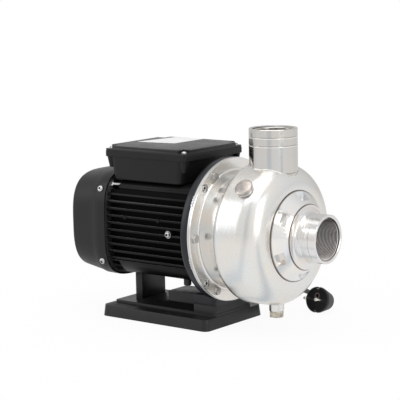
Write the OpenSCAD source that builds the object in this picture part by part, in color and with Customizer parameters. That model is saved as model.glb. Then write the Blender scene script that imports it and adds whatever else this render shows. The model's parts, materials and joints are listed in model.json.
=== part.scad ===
// Close coupled centrifugal pump: a drawn stainless casing with threaded ports,
// a finned single phase motor, a terminal box on top and a foot underneath.
// The shaft runs along +X toward the suction port, and +Z is up.
// The origin lies on the floor, under the middle of the pump.

/* [Casing] */
// Outer diameter of the drawn casing
casing_d = 200; // [180:1:220]
// Distance from the flange face to the front of the casing
casing_l = 107; // [100:1:116]
// Length of the drum from its rear shoulder to its front
drum_l = 76; // [70:1:82]
// Width of the shoulder between the neck and the drum
shoulder_w = 21; // [20:0.5:25]
// Width of the flange outside the neck
flange_w = 23.4; // [21:0.2:26]
// Height of the flange above the floor
flange_lift = 35.4; // [33:0.2:40]
// Sheet thickness of the casing
sheet_t = 2.5; // [1.5:0.1:3]
// Radius of the large rounding at the front of the casing
front_round = 32; // [26:1:34]
// Radius of the rounding at the rear shoulder
rear_round = 14; // [10:1:16]
// Radius of the fillet between neck and casing
neck_fillet = 6; // [4:0.5:8]
// Distance from the outside of the drum in to the seam of the front plate
seam_inset = 35.8; // [35:0.2:40]

/* [Ports] */
// Outer diameter of both threaded ports
port_od = 68; // [66:0.5:72]
// Bore of both ports at the tips of the thread
port_bore = 58; // [54:0.5:60]
// Length of the suction port in front of its hub
port_l = 33.8; // [30:0.2:42]
// Diameter of the hub where the suction port meets the front plate
hub_d = 91.4; // [86:0.2:96]
// Height of the discharge rim above the drum
discharge_l = 48.6; // [40:0.2:58]
// Distance from the front of the casing back to the discharge axis
discharge_back = 37.9; // [36:0.1:40]
// Distance from the front of the casing back to the drain axis
drain_back = 35.5; // [34:0.5:38]
// Distance from the front of the casing back to the priming plug axis
priming_back = 35; // [34:0.5:38]
// Diameter of the priming plug head
priming_d = 26; // [22:0.5:28]
// Across flats of the drain plug
drain_af = 18.5; // [16:0.5:20]

/* [Motor] */
// Length of the finned motor frame
frame_l = 157.6; // [150:0.1:170]
// Half width of the motor frame over its fin tips
frame_half = 75; // [72:0.5:76]
// Depth of the fins
fin_depth = 11; // [8:0.5:12]
// Thickness of a fin
fin_t = 2.6; // [2:0.1:4]
// Distance from fin to fin
fin_pitch = 10.46; // [10:0.02:11]
// Fins above and below the shaft on each side
fin_pairs = 5; // [3:1:5]
// Length of the fan cover
cover_l = 70.1; // [64:0.1:80]
// Half width of the fan cover at its open front
cover_half = 79.6; // [79:0.1:82]
// Half width of the fan cover at its rear edge
cover_rear_half = 73.5; // [72:0.1:76]
// Wall of the fan cover
cover_t = 1.8; // [1.2:0.1:2]
// Diameter of the shaft through the bearings
shaft_d = 20; // [18:0.5:21]
// Outer diameter of the bearings
bearing_d = 47; // [45:0.5:50]
// Width of the bearings
bearing_w = 14; // [12:0.5:16]
// Outer diameter of the rotor core
rotor_d = 70; // [64:0.5:74]
// Length of the stator and rotor cores
core_l = 80; // [70:1:84]

/* [Hydraulics] */
// Diameter of the impeller
impeller_d = 126; // [116:1:128]
// Number of impeller blades
impeller_blades = 6; // [4:1:8]
// Thickness of an impeller blade
blade_t = 3; // [2:0.2:4]
// Height of the impeller blades at their outer ends
blade_h = 12; // [8:0.5:14]

/* [Terminal box] */
// Length of the terminal box over its rim
box_l = 150; // [144:1:152]
// Width of the terminal box over its rim
box_w = 136; // [124:1:140]
// Height of the terminal box without its lid
box_h = 42.5; // [38:0.5:48]
// Wall of the terminal box
box_t = 2.5; // [2:0.1:3]
// Thickness of the lid
lid_h = 7.2; // [6:0.2:9]

/* [Foot] */
// Length of the base plate
base_l = 197; // [190:1:204]
// Width of the base plate
base_w = 135.6; // [126:0.2:144]
// Thickness of the base plate
base_h = 16.5; // [14:0.5:18]
// Width of the step on the base plate and of the bracket foot
step_w = 84; // [78:1:90]
// Height of the block under the bracket foot
block_h = 31.6; // [28:0.2:34]

/* [Cord] */
// Diameter of the mains cord
cord_d = 7.4; // [7:0.1:7.8]

/* [Hidden] */

$fn = 96;
// Overrun of every cut
cut = 1;
// Running clearance between turning and fixed round faces
run_gap = 0.05;
// Clearance round screws in plain holes
hole_gap = 0.4;

// Radii of the casing from the drum inward, and the height of the shaft above the floor
casing_r = casing_d / 2;
neck_r = casing_r - shoulder_w;
flange_r = neck_r + flange_w;
seam_r = casing_r - seam_inset;
port_r = port_od / 2;
bore_r = port_bore / 2;
hub_r = hub_d / 2;
shaft_z = flange_r + flange_lift;

// Places along the shaft, measured forward from the flange face
shoulder_x = casing_l - drum_l;
hub_x = casing_l + seam_r - hub_r;
suction_reach = hub_x + port_l;
discharge_x = casing_l - discharge_back;
discharge_rise = casing_r + discharge_l;
drain_x = casing_l - drain_back;
priming_x = casing_l - priming_back;

// Rows of pieces along the shaft, from the suction rim back to the fan cover
plate_t = 2;
flange_t = 3;
bracket_t = 15;
total_l = suction_reach + flange_t + plate_t + bracket_t + frame_l + cover_l;
flange_x = total_l / 2 - suction_reach;
seal_plate_x = flange_x - flange_t - plate_t;
bracket_x = seal_plate_x - bracket_t;
frame_x = bracket_x - frame_l;
cover_x = frame_x - cover_l;

bracket_step = 0.6;
bracket_r = flange_r + bracket_step;

// Fixings on the flange
bolt_d = 6;
bolt_count = 6;
bolt_inset = 8.6;
bolt_circle_r = flange_r - bolt_inset;
bolt_head = 10;
bolt_head_h = 4.2;
washer_d = 13;
washer_t = 1.2;
screw_d = 5;
screw_head_d = 8.6;
screw_inset = 7.4;
screw_circle_r = flange_r - screw_inset;
head_gap = 2;
screw_angles = [45, 135, 225, 315];
bead_w = 9;
bead_h = 3;

// A flat outline or a row of cylinders is turned about the shaft
module about_shaft(x = 0) {
    translate([x, 0, shaft_z]) rotate([0, 90, 0]) rotate_extrude() children();
}

// A disc or drum on the shaft line
module drum(x, l, r) {
    translate([x, 0, shaft_z]) rotate([0, 90, 0]) cylinder(h = l, r = r);
}

// A ring on the shaft line
module ring(x, l, r, hole_r) {
    difference() {
        drum(x, l, r);
        drum(x - cut, l + 2 * cut, hole_r);
    }
}

// Children at a place on a circle about the shaft, the angle measured from +Z toward -Y
module on_circle(x, r, angle) {
    translate([x, 0, shaft_z]) rotate([angle, 0, 0]) translate([0, 0, r]) children();
}

// A cross section drawn as [y, z] about the shaft is drawn out along X
module along_shaft(x, l) {
    translate([x, 0, shaft_z]) rotate([90, 0, 90]) linear_extrude(l) children();
}

// A rectangle with round corners
module round_rect(l, w, r) {
    square([l - 2 * r, w], center = true);
    square([l, w - 2 * r], center = true);
    for (sx = [-1, 1], sy = [-1, 1])
        translate([sx * (l / 2 - r), sy * (w / 2 - r)]) circle(r = r, $fn = 32);
}

// Points of a squircle with the given half width and power
function squircle(half, power, count) = [
    for (i = [0 : count - 1])
        let (a = 360 * i / count, c = cos(a), s = sin(a))
        [half * sign(c) * pow(abs(c), 2 / power), half * sign(s) * pow(abs(s), 2 / power)]
];

// Points of an arc about a centre
function arc(centre, r, from, to, count) = [
    for (i = [0 : count])
        let (a = from + (to - from) * i / count)
        centre + r * [cos(a), sin(a)]
];

// Hexagon head screw pointing back along X, its seat at x = 0
module hex_bolt(d, head, head_h, l) {
    rotate([0, 90, 0]) cylinder(h = head_h, d = head / cos(30), $fn = 6);
    translate([-l, 0, 0]) rotate([0, 90, 0]) cylinder(h = l, d = d, $fn = 32);
}

// Round head screw pointing back along its own Z, its seat at z = 0
module round_screw(d, head_d, head_h, l) {
    rim_share = 0.55;
    top_share = 0.66;
    slot_share = 0.14;
    slot_w = head_d * slot_share;
    rim_h = head_h * rim_share;
    difference() {
        union() {
            cylinder(h = rim_h, d = head_d, $fn = 40);
            translate([0, 0, rim_h])
                cylinder(h = head_h - rim_h, d1 = head_d, d2 = head_d * top_share, $fn = 40);
        }
        translate([-head_d / 2, -slot_w / 2, head_h / 2]) cube([head_d, slot_w, head_h]);
        translate([-slot_w / 2, -head_d / 2, head_h / 2]) cube([slot_w, head_d, head_h]);
    }
    translate([0, 0, -l]) cylinder(h = l, d = d, $fn = 32);
}

// Outline of the casing as [radius, distance from the flange face], drawn in by a wall
module casing_outline(wall) {
    body_r = casing_r - wall;
    back = shoulder_x + wall;
    front = casing_l - wall;
    rear_arc = rear_round - wall;
    front_arc = front_round - wall;
    square_from(0, back, casing_r - rear_round, front - back - front_arc);
    square_from(0, back + rear_arc, body_r, casing_l - front_round - back - rear_arc);
    square_from(0, shoulder_x + rear_round, casing_r - front_round, front - shoulder_x - rear_round);
    translate([casing_r - rear_round, shoulder_x + rear_round]) circle(r = rear_arc);
    translate([casing_r - front_round, casing_l - front_round]) circle(r = front_arc);
    square_from(0, 0, neck_r - wall, shoulder_x + rear_round);
    difference() {
        square_from(0, shoulder_x - neck_fillet, neck_r + neck_fillet, neck_fillet + wall + rear_arc);
        translate([neck_r + neck_fillet, shoulder_x - neck_fillet]) circle(r = neck_fillet + wall);
        square_from(neck_r + neck_fillet, 0, casing_r, shoulder_x + wall);
    }
}

module square_from(x, y, w, h) {
    translate([x, y]) square([w, h]);
}

// The casing as a full solid, for the pieces that end on it
module casing_solid() {
    about_shaft(flange_x, $fn = 240) casing_outline(0);
}

// The sheet of the casing between two distances from the flange face
module casing_sheet(from, to) {
    intersection() {
        difference() {
            casing_outline(0);
            casing_outline(sheet_t);
            square_from(0, -cut, neck_r - sheet_t, sheet_t + 2 * cut);
            square_from(0, casing_l - 2 * sheet_t, seam_r, 4 * sheet_t);
        }
        square_from(0, from, casing_r, to - from);
    }
}

// The drum is kept apart from its neck, where the straight neck ends
neck_l = shoulder_x - neck_fillet;

module pump_casing() {
    color("gainsboro") difference() {
        about_shaft(flange_x) casing_sheet(neck_l, casing_l);
        translate([flange_x + discharge_x, 0, shaft_z]) cylinder(h = discharge_rise, r = bore_r);
        on_circle(flange_x + priming_x, neck_r, priming_angle) cylinder(h = casing_r, r = priming_bore_r);
        translate([flange_x + drain_x, 0, 0]) cylinder(h = shaft_z - neck_r, r = drain_bore_r);
    }
}

module casing_neck() {
    color("gainsboro") difference() {
        about_shaft(flange_x) {
            casing_sheet(0, neck_l);
            square_from(neck_r - sheet_t, -flange_t, flange_r - neck_r + sheet_t, flange_t);
            square_from(neck_r - sheet_t / 2, -flange_t / 2,
                bead_w + sheet_t / 2 - bead_h, bead_h + flange_t / 2);
            translate([neck_r + bead_w - bead_h, 0]) circle(r = bead_h, $fn = 48);
        }
        for (i = [0 : bolt_count - 1]) {
            on_circle(flange_x - flange_t - cut, bolt_circle_r, bolt_angle(i))
                rotate([0, 90, 0]) cylinder(h = flange_t + 2 * cut, d = bolt_d + 2 * hole_gap);
            on_circle(flange_x, bolt_circle_r, bolt_angle(i))
                rotate([0, 90, 0]) cylinder(h = bead_h + cut, d = washer_d + 2 * hole_gap);
        }
        for (angle = screw_angles)
            on_circle(flange_x - flange_t - cut, screw_circle_r, angle)
                rotate([0, 90, 0]) cylinder(h = flange_t + bead_h + 2 * cut, d = screw_head_d + 2 * head_gap);
    }
}

function bolt_angle(i) = (i + 0.5) * 360 / bolt_count;

// Front plate: a cone with pressed pockets that closes the casing round the suction port
cone_gap = 0.8;
spigot_wall = 7;
spigot_r = bore_r + spigot_wall;
rim_w = 3.6;
front_t = 3;
pocket_count = 6;
pocket_w = 19;
pocket_first = -4;
pocket_inset = 5;
pocket_inner_r = hub_r + pocket_inset;
pocket_rise = 2.2;
pocket_floor = casing_l + pocket_rise;

module front_plate() {
    cone_r = seam_r - cone_gap;
    inner_r = hub_r - front_t * (sqrt(2) - 1);
    rim_x = casing_l - sheet_t - front_t;
    back_r = inner_r + hub_x - front_t - rim_x;
    color("whitesmoke") difference() {
        union() {
            about_shaft(flange_x) polygon([
                [seam_r + rim_w, rim_x], [seam_r + rim_w, casing_l - sheet_t],
                [cone_r, casing_l - sheet_t], [cone_r, casing_l + cone_gap],
                [hub_r, hub_x], [spigot_r, hub_x], [spigot_r, hub_x - front_t],
                [inner_r, hub_x - front_t], [back_r, rim_x]
            ]);
            intersection() {
                about_shaft(flange_x) polygon([
                    [0, rim_x], [cone_r, rim_x], [cone_r, casing_l + cone_gap], [hub_r, hub_x], [0, hub_x]
                ]);
                for (i = [0 : pocket_count - 1])
                    pocket(i, pocket_inner_r - front_t, pocket_floor - front_t, pocket_w + 2 * front_t);
            }
        }
        for (i = [0 : pocket_count - 1])
            pocket(i, pocket_inner_r, pocket_floor, pocket_w);
    }
}

// Box of one pocket, open toward the front and the rim
module pocket(i, inner_r, floor_x, w) {
    on_circle(flange_x + floor_x, inner_r, pocket_first + i * 360 / pocket_count)
        translate([0, -w / 2, 0]) cube([hub_x - floor_x + cut, w, seam_r - inner_r]);
}

groove_w = 1.2;
groove_depth = 0.7;
mouth = 1.6;

module suction_nozzle() {
    spigot_l = 9;
    fillet = 9.4;
    lip = 1.6;
    root_r = hub_r - cone_gap;
    ring_h = 0.6;
    groove_back = 11.7;
    arc_steps = 8;
    top = suction_reach;
    groove_x = top - groove_back;
    color("whitesmoke") about_shaft(flange_x) polygon(concat(
        [[bore_r, hub_x - spigot_l], [spigot_r, hub_x - spigot_l], [spigot_r, hub_x],
         [root_r - cone_gap, hub_x], [root_r, hub_x + cone_gap], [root_r, hub_x + lip]],
        arc([port_r + fillet, hub_x + lip + fillet], fillet, 270, 180, arc_steps),
        [[port_r, groove_x - groove_w / 2], [port_r - groove_depth, groove_x],
         [port_r, groove_x + groove_w / 2], [port_r, top - ring_h], [port_r - ring_h, top],
         [bore_r + mouth, top], [bore_r, top - mouth]]
    ));
}

module discharge_nozzle() {
    top = discharge_rise;
    bevel = 0.6;
    upper_back = 11.4;
    lower_back = 23.1;
    upper = top - upper_back;
    lower = top - lower_back;
    color("gainsboro") difference() {
        translate([flange_x + discharge_x, 0, shaft_z]) rotate_extrude() polygon([
            [bore_r, neck_r], [port_r, neck_r],
            [port_r, lower - groove_w / 2], [port_r - groove_depth, lower], [port_r, lower + groove_w / 2],
            [port_r, upper - groove_w / 2], [port_r - groove_depth, upper], [port_r, upper + groove_w / 2],
            [port_r, top - bevel], [port_r - bevel, top], [bore_r + mouth, top], [bore_r, top - mouth]
        ]);
        casing_solid();
    }
}

// Priming plug on the shoulder of the casing
priming_angle = 45;
priming_bore_r = 8;
collar_h = 1.8;

module priming_boss() {
    color("gainsboro") difference() {
        on_circle(flange_x + priming_x, neck_r, priming_angle) difference() {
            cylinder(h = casing_r - neck_r + collar_h, r = priming_d / 2 - collar_h);
            translate([0, 0, -cut]) cylinder(h = casing_r, r = priming_bore_r);
        }
        casing_solid();
    }
}

module priming_plug() {
    head_h = 6.5;
    shank_l = 10;
    dome = 1.4;
    color("silver") on_circle(flange_x + priming_x, casing_r + collar_h, priming_angle) {
        translate([0, 0, -shank_l]) cylinder(h = shank_l, r = priming_bore_r);
        rotate_extrude() polygon([
            [0, 0], [priming_d / 2 - dome, 0], [priming_d / 2, dome], [priming_d / 2, head_h - dome],
            [priming_d / 2 - dome, head_h - dome / 3], [0, head_h]
        ]);
    }
}

// Drain at the lowest point of the casing
drain_bore_r = 6.5;
drain_boss_r = 10.4;
drain_boss_h = 9.4;

module drain_boss() {
    color("gainsboro") difference() {
        translate([flange_x + drain_x, 0, shaft_z - casing_r - drain_boss_h]) difference() {
            cylinder(h = drain_boss_h + drain_boss_r, r = drain_boss_r);
            translate([0, 0, -cut]) cylinder(h = casing_r, r = drain_bore_r);
        }
        casing_solid();
    }
}

module drain_plug() {
    head_h = 9;
    shank_l = 9;
    rim = 0.8;
    color("tan") translate([flange_x + drain_x, 0, shaft_z - casing_r - drain_boss_h]) {
        cylinder(h = shank_l, r = drain_bore_r);
        translate([0, 0, -rim]) cylinder(h = rim, d = drain_af);
        translate([0, 0, -head_h]) cylinder(h = head_h - rim, d = drain_af / cos(30), $fn = 6);
    }
}

// Flat ring that the open side of the impeller runs against
wear_t = 2.5;
wear_x = casing_l - sheet_t - front_t - wear_t;
impeller_disc_t = 4;
blade_gap = 2;
impeller_back = wear_x - blade_gap - blade_h - impeller_disc_t;
eye_gap = 1;
eye_r = bore_r + eye_gap;

module wear_plate() {
    color("gainsboro") ring(flange_x + wear_x, wear_t, seam_r + rim_w, eye_r);
}

module casing_bolts() {
    short_by = 3;
    grip = flange_t + plate_t + bracket_t - short_by;
    color("lightgray") for (i = [0 : bolt_count - 1])
        on_circle(flange_x, bolt_circle_r, bolt_angle(i)) {
            translate([washer_t, 0, 0]) hex_bolt(bolt_d, bolt_head, bolt_head_h, grip);
            rotate([0, 90, 0]) cylinder(h = washer_t, d = washer_d, $fn = 40);
        }
}

module flange_screws() {
    head_h = 4.6;
    socket_d = 4.6;
    socket_h = 2.6;
    shank_l = 10;
    color("gray") for (angle = screw_angles)
        on_circle(seal_plate_x, screw_circle_r, angle) rotate([0, 90, 0]) {
            difference() {
                cylinder(h = head_h, d = screw_head_d, $fn = 40);
                translate([0, 0, head_h - socket_h]) cylinder(h = socket_h + cut, d = socket_d, $fn = 6);
            }
            translate([0, 0, -shank_l]) cylinder(h = shank_l, d = screw_d, $fn = 32);
        }
}

ring_d = 3;

module casing_o_ring() {
    color("black") about_shaft(flange_x - flange_t + ring_d / 2)
        translate([neck_r - sheet_t - ring_d / 2, 0]) circle(d = ring_d, $fn = 32);
}

// Row of the seal, from the impeller back to the seal plate
seat_t = 7;
face_t = 5;
face_step = 4;
bellows_step = 2;
seat_back = 1;
sleeve_wall = 4;
sleeve_l = 13;
bellows_l = 24;
bellows_x = impeller_back - sleeve_l - bellows_l;
face_x = bellows_x - face_t;
seat_x = face_x - run_gap - seat_t;

// Seal plate: closes the casing toward the motor and carries the fixed seal ring
seat_r = 17;
dish_gap = 16.5;
dish_draft = 14;
dish_r = neck_r - sheet_t - dish_gap;
dish_top_r = dish_r - dish_draft;
dish_x = seat_x + seat_back + flange_t + plate_t;
lug_angles = [60, 110, -60, -110];

module seal_plate() {
    lug_teeth = 4;
    tooth_w = 2;
    tooth_h = 1.4;
    tooth_step = 4;
    rim_r = bracket_r;
    tooth_turn = tooth_step * 180 / (PI * rim_r);
    color("lightgray") difference() {
        union() {
            about_shaft(seal_plate_x) polygon([
                [seat_r, dish_x], [dish_top_r, dish_x], [dish_r, 0], [rim_r, 0], [rim_r, plate_t],
                [dish_r + plate_t, plate_t], [dish_top_r + plate_t, dish_x + plate_t],
                [seat_r, dish_x + plate_t]
            ]);
            for (angle = lug_angles, k = [0 : lug_teeth - 1])
                on_circle(seal_plate_x, rim_r - tooth_h, angle + (k - (lug_teeth - 1) / 2) * tooth_turn)
                    translate([0, -tooth_w / 2, 0]) cube([plate_t, tooth_w, 2 * tooth_h]);
        }
        for (i = [0 : bolt_count - 1])
            on_circle(seal_plate_x - cut, bolt_circle_r, bolt_angle(i))
                rotate([0, 90, 0]) cylinder(h = plate_t + 2 * cut, d = bolt_d + 2 * hole_gap);
        for (angle = screw_angles)
            on_circle(seal_plate_x - cut, screw_circle_r, angle)
                rotate([0, 90, 0]) cylinder(h = plate_t + 2 * cut, d = screw_head_d + 2 * hole_gap);
    }
}

// Motor bracket: the cast ring between flange and motor, with its bearing seat and foot
bearing_back = 3;
front_bearing_x = bracket_x - bearing_back;
bearing_lip = 4;
bearing_hub_wall = 5;
shaft_gap = 2;
foot_l = 40.5;
foot_top = 46;
foot_front = 5;
foot_x = flange_x - foot_front - foot_l;
foot_bore_y = 26;
foot_bolt_d = 8;
foot_bolt_top = 38;
foot_thread_gap = 1;

module motor_bracket() {
    rim = 6;
    web_t = 7;
    rim_wall = 14;
    hub_r = bearing_d / 2 + bearing_hub_wall;
    color([0.16, 0.16, 0.17]) difference() {
        union() {
            about_shaft(bracket_x) difference() {
                union() {
                    square_from(0, 0, bracket_r - rim, bracket_t);
                    square_from(0, rim, bracket_r, bracket_t - rim);
                    translate([bracket_r - rim, rim]) circle(r = rim, $fn = 64);
                }
                square_from(hub_r, web_t, bracket_r - rim_wall - hub_r, bracket_t);
            }
            drum(front_bearing_x - bearing_lip, bearing_back + bearing_lip, hub_r);
            bracket_foot();
        }
        drum(front_bearing_x - bearing_lip - cut, bearing_lip + bearing_w + cut, bearing_d / 2);
        drum(front_bearing_x, 2 * bracket_t, shaft_d / 2 + shaft_gap);
        for (i = [0 : bolt_count - 1])
            on_circle(bracket_x - cut, bolt_circle_r, bolt_angle(i))
                rotate([0, 90, 0]) cylinder(h = bracket_t + 2 * cut, d = bolt_d);
        for (angle = screw_angles)
            on_circle(bracket_x - cut, screw_circle_r, angle)
                rotate([0, 90, 0]) cylinder(h = bracket_t + 2 * cut, d = screw_d);
        for (side = [-1, 1])
            translate([foot_x + foot_l / 2, side * foot_bore_y, 0])
                cylinder(h = foot_bolt_top + foot_thread_gap, d = foot_bolt_d);
    }
}

// The foot reaches from the block of the base up into the ring
module bracket_foot() {
    edge = 3;
    reach = 37;
    inner_r = bracket_r - reach;
    translate([foot_x + foot_l / 2, 0, block_h]) linear_extrude(foot_top - block_h)
        round_rect(foot_l, step_w, edge);
    intersection() {
        translate([bracket_x, -step_w / 2, foot_top - edge]) cube([bracket_t, step_w, bracket_r / 2]);
        difference() {
            drum(bracket_x, bracket_t, bracket_r);
            drum(bracket_x - cut, bracket_t + 2 * cut, inner_r);
        }
    }
    translate([foot_x + edge, -step_w / 4, foot_top - edge])
        cube([foot_l - bracket_t, step_w / 2, frame_bottom - foot_top + edge]);
}

drip_back = 36;
drip_x = bracket_x - drip_back;
drip_y = -40;

module bracket_drip_plug() {
    drip_d = 11;
    drip_h = 7;
    tip_h = 1;
    tip_share = 0.8;
    color([0.14, 0.14, 0.15]) difference() {
        translate([drip_x, drip_y, frame_bottom - drip_h]) {
            cylinder(h = drip_h + flat_cut, d = drip_d);
            translate([0, 0, -tip_h]) cylinder(h = tip_h, d1 = drip_d * tip_share, d2 = drip_d);
        }
        along_shaft(frame_x, frame_l) polygon(squircle(frame_half, frame_power, frame_sides));
    }
}

// Motor frame: a square shell with round corners, level fins and a smooth sill
frame_power = 3.6;
frame_sides = 72;
flat_cut = 2.2;
frame_bottom = shaft_z - frame_half + flat_cut;
frame_rise = 67.2;
frame_top = shaft_z + frame_rise;
stator_r = 57;
sill_top = -50.5;
crown_z = 38;
frame_core = frame_half - fin_depth;
lug_l = 18;
tie_y = 59;
tie_z = 60;
tie_d = 5;

module frame_section() {
    intersection() {
        polygon(squircle(frame_half, frame_power, frame_sides));
        translate([-frame_half, frame_bottom - shaft_z]) square([2 * frame_half, frame_top - frame_bottom]);
        union() {
            polygon(squircle(frame_core, frame_power, frame_sides));
            for (i = [-fin_pairs : fin_pairs - 1])
                translate([-frame_half, (i + 0.5) * fin_pitch - fin_t / 2]) square([2 * frame_half, fin_t]);
            translate([-frame_half, (fin_pairs + 0.5) * fin_pitch - fin_t / 2])
                square([2 * frame_half, fin_t]);
            translate([-frame_half, -frame_half]) square([2 * frame_half, frame_half + sill_top]);
            translate([-frame_core, crown_z]) square([2 * frame_core, frame_half]);
        }
    }
}

module motor_frame() {
    boss_d = 13;
    corner = 24;
    corner_in = 23;
    corner_mid = frame_half - corner_in + corner / 2;
    color([0.15, 0.15, 0.16]) difference() {
        union() {
            along_shaft(frame_x, frame_l) frame_section();
            translate([ground_x, ground_y + ground_boss_l + cut, ground_z]) rotate([90, 0, 0])
                cylinder(h = ground_boss_l + cut, d = boss_d);
        }
        drum(frame_x - cut, frame_l + 2 * cut, stator_r);
        for (sy = [-1, 1], sz = [-1, 1])
            translate([frame_x - cut, sy * corner_mid - corner / 2, shaft_z + sz * corner_mid - corner / 2])
                cube([lug_l + cut, corner, corner]);
        for (sy = [-1, 1], sz = [-1, 1])
            translate([frame_x, sy * tie_y, shaft_z + sz * tie_z]) rotate([0, 90, 0])
                cylinder(h = frame_l + cut, d = tie_d, $fn = 24);
        translate([ground_x, ground_y, ground_z]) rotate([90, 0, 0]) {
            cylinder(h = ground_boss_l, d = boss_d);
            translate([0, 0, -ground_boss_l]) cylinder(h = ground_boss_l + cut, d = screw_d);
        }
    }
}

core_front = 30;
stator_x = bracket_x - core_front - core_l;
air_gap = 0.5;

module stator_core() {
    slot_count = 24;
    slot_w = 4;
    slot_r = 46;
    color("dimgray") difference() {
        ring(stator_x, core_l, stator_r, rotor_d / 2 + air_gap);
        for (i = [0 : slot_count - 1])
            translate([stator_x - cut, 0, shaft_z]) rotate([i * 360 / slot_count, 0, 0])
                translate([0, -slot_w / 2, rotor_d / 2 + air_gap + slot_w / 2])
                    cube([core_l + 2 * cut, slot_w, slot_r - rotor_d / 2 - air_gap]);
    }
}

module stator_windings() {
    end_l = 17;
    outer_gap = 3;
    inner_gap = 4;
    color([0.72, 0.4, 0.2]) for (x = [stator_x - end_l, stator_x + core_l])
        ring(x, end_l, stator_r - outer_gap, rotor_d / 2 + inner_gap);
}

// Rear end shield under the fan cover, with four lugs for the cover screws
shield_l = 20;
rear_bearing_x = frame_x - bearing_w;
shield_gap = 0.4;
shield_half = cover_half - cover_t - shield_gap;
shield_power = 3.5;
cover_power = 3.7;

module rear_end_shield() {
    dish = 8;
    pilot_l = 12;
    color([0.3, 0.3, 0.31]) difference() {
        along_shaft(frame_x - shield_l, shield_l) polygon(squircle(shield_half, shield_power, frame_sides));
        ring(frame_x - shield_l - cut, dish + cut, frame_core, bearing_d / 2 + bearing_hub_wall);
        drum(frame_x - bearing_w, bearing_w + cut, bearing_d / 2);
        drum(frame_x - shield_l - cut, shield_l, shaft_d / 2 + shaft_gap);
        for (sy = [-1, 1], sz = [-1, 1])
            translate([frame_x - shield_l - cut, sy * tie_y, shaft_z + sz * tie_z]) rotate([0, 90, 0])
                cylinder(h = shield_l + 2 * cut, d = tie_d + 2 * hole_gap, $fn = 24);
        for (side = [-1, 1], up = [-1, 1])
            cover_screw_place(side, up)
                translate([0, 0, -pilot_l]) cylinder(h = 2 * pilot_l, d = cover_screw_d);
    }
}

module tie_bolts() {
    bolt_bite = 34;
    nut_h = 4;
    nut_af = 8;
    reach = lug_l + bolt_bite;
    color("silver") for (sy = [-1, 1], sz = [-1, 1])
        translate([frame_x, sy * tie_y, shaft_z + sz * tie_z]) {
            translate([-shield_l, 0, 0]) rotate([0, 90, 0])
                cylinder(h = shield_l + reach, d = tie_d, $fn = 24);
            rotate([0, 90, 0]) cylinder(h = nut_h, d = nut_af / cos(30), $fn = 6);
        }
}

// Ball bearings at both ends of the motor
ball_d = 7.6;
ball_count = 8;
race_r = (bearing_d / 2 + shaft_d / 2) / 2;
race_wall = 3.6;
bearing_places = [front_bearing_x, rear_bearing_x];

module bearing_outer_rings() {
    color("silver") for (x = bearing_places) difference() {
        ring(x, bearing_w, bearing_d / 2, bearing_d / 2 - race_wall);
        about_shaft(x + bearing_w / 2) translate([race_r, 0]) circle(d = ball_d + 2 * run_gap, $fn = 40);
    }
}

module bearing_balls() {
    color("white") for (x = bearing_places, i = [0 : ball_count - 1])
        on_circle(x + bearing_w / 2, race_r, i * 360 / ball_count) sphere(d = ball_d, $fn = 24);
}

module bearing_inner_rings() {
    color("silver") for (x = bearing_places) difference() {
        ring(x, bearing_w, shaft_d / 2 + race_wall, shaft_d / 2);
        about_shaft(x + bearing_w / 2) translate([race_r, 0]) circle(d = ball_d + 2 * run_gap, $fn = 40);
    }
}

// Shaft from the fan to the impeller
pump_shaft_d = 16;
impeller_hub_l = 14;
nut_h = 9;
shaft_end = impeller_back + impeller_hub_l + nut_h;
key_w = 5;
key_h = 5;
key_l = 12;
key_back = 1;
fan_step = 1;
core_step = 2;
core_bore_r = shaft_d / 2 + core_step;
fan_back = 12;
fan_x = cover_x + fan_back;
fan_hub_l = 16;

module key_shape(gap) {
    translate([flange_x + impeller_back + key_back, -key_w / 2 - gap, shaft_z + pump_shaft_d / 2 - key_h / 2])
        cube([key_l, key_w + 2 * gap, key_h + gap]);
}

module rotor_shaft() {
    fan_overhang = 2;
    fan_end = fan_x - fan_overhang;
    color("silver") difference() {
        union() {
            drum(fan_end, rear_bearing_x - fan_end, shaft_d / 2 - fan_step);
            drum(rear_bearing_x, front_bearing_x + bearing_w - rear_bearing_x, shaft_d / 2);
            drum(rear_bearing_x + bearing_w, front_bearing_x - rear_bearing_x - bearing_w, core_bore_r);
            drum(front_bearing_x + bearing_w, flange_x + shaft_end - front_bearing_x - bearing_w,
                pump_shaft_d / 2);
        }
        key_shape(0);
    }
}

module rotor_core() {
    bars = 16;
    bar_d = 4;
    bar_inset = 5;
    bar_depth = 4;
    color("dimgray") difference() {
        ring(stator_x, core_l, rotor_d / 2, core_bore_r);
        for (i = [0 : bars - 1])
            on_circle(stator_x - cut, rotor_d / 2 - bar_inset, i * 360 / bars)
                rotate([0, 90, 0]) cylinder(h = cut + bar_depth, d = bar_d, $fn = 20);
    }
}

// Open impeller: a back disc, a hub and blades that curve back from the hub
blade_sweep = 62;
blade_steps = 10;
blade_bend = 0.85;
blade_inset = 1;
hub_outer_r = 14;

function blade_line(offset) = [
    for (i = [0 : blade_steps])
        let (share = i / blade_steps,
             r = hub_outer_r - blade_inset + (impeller_d / 2 - hub_outer_r) * share,
             a = blade_sweep * pow(share, blade_bend) + offset / r * 180 / PI)
        r * [cos(a), sin(a)]
];

function reversed(list) = [for (i = [len(list) - 1 : -1 : 0]) list[i]];

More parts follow.
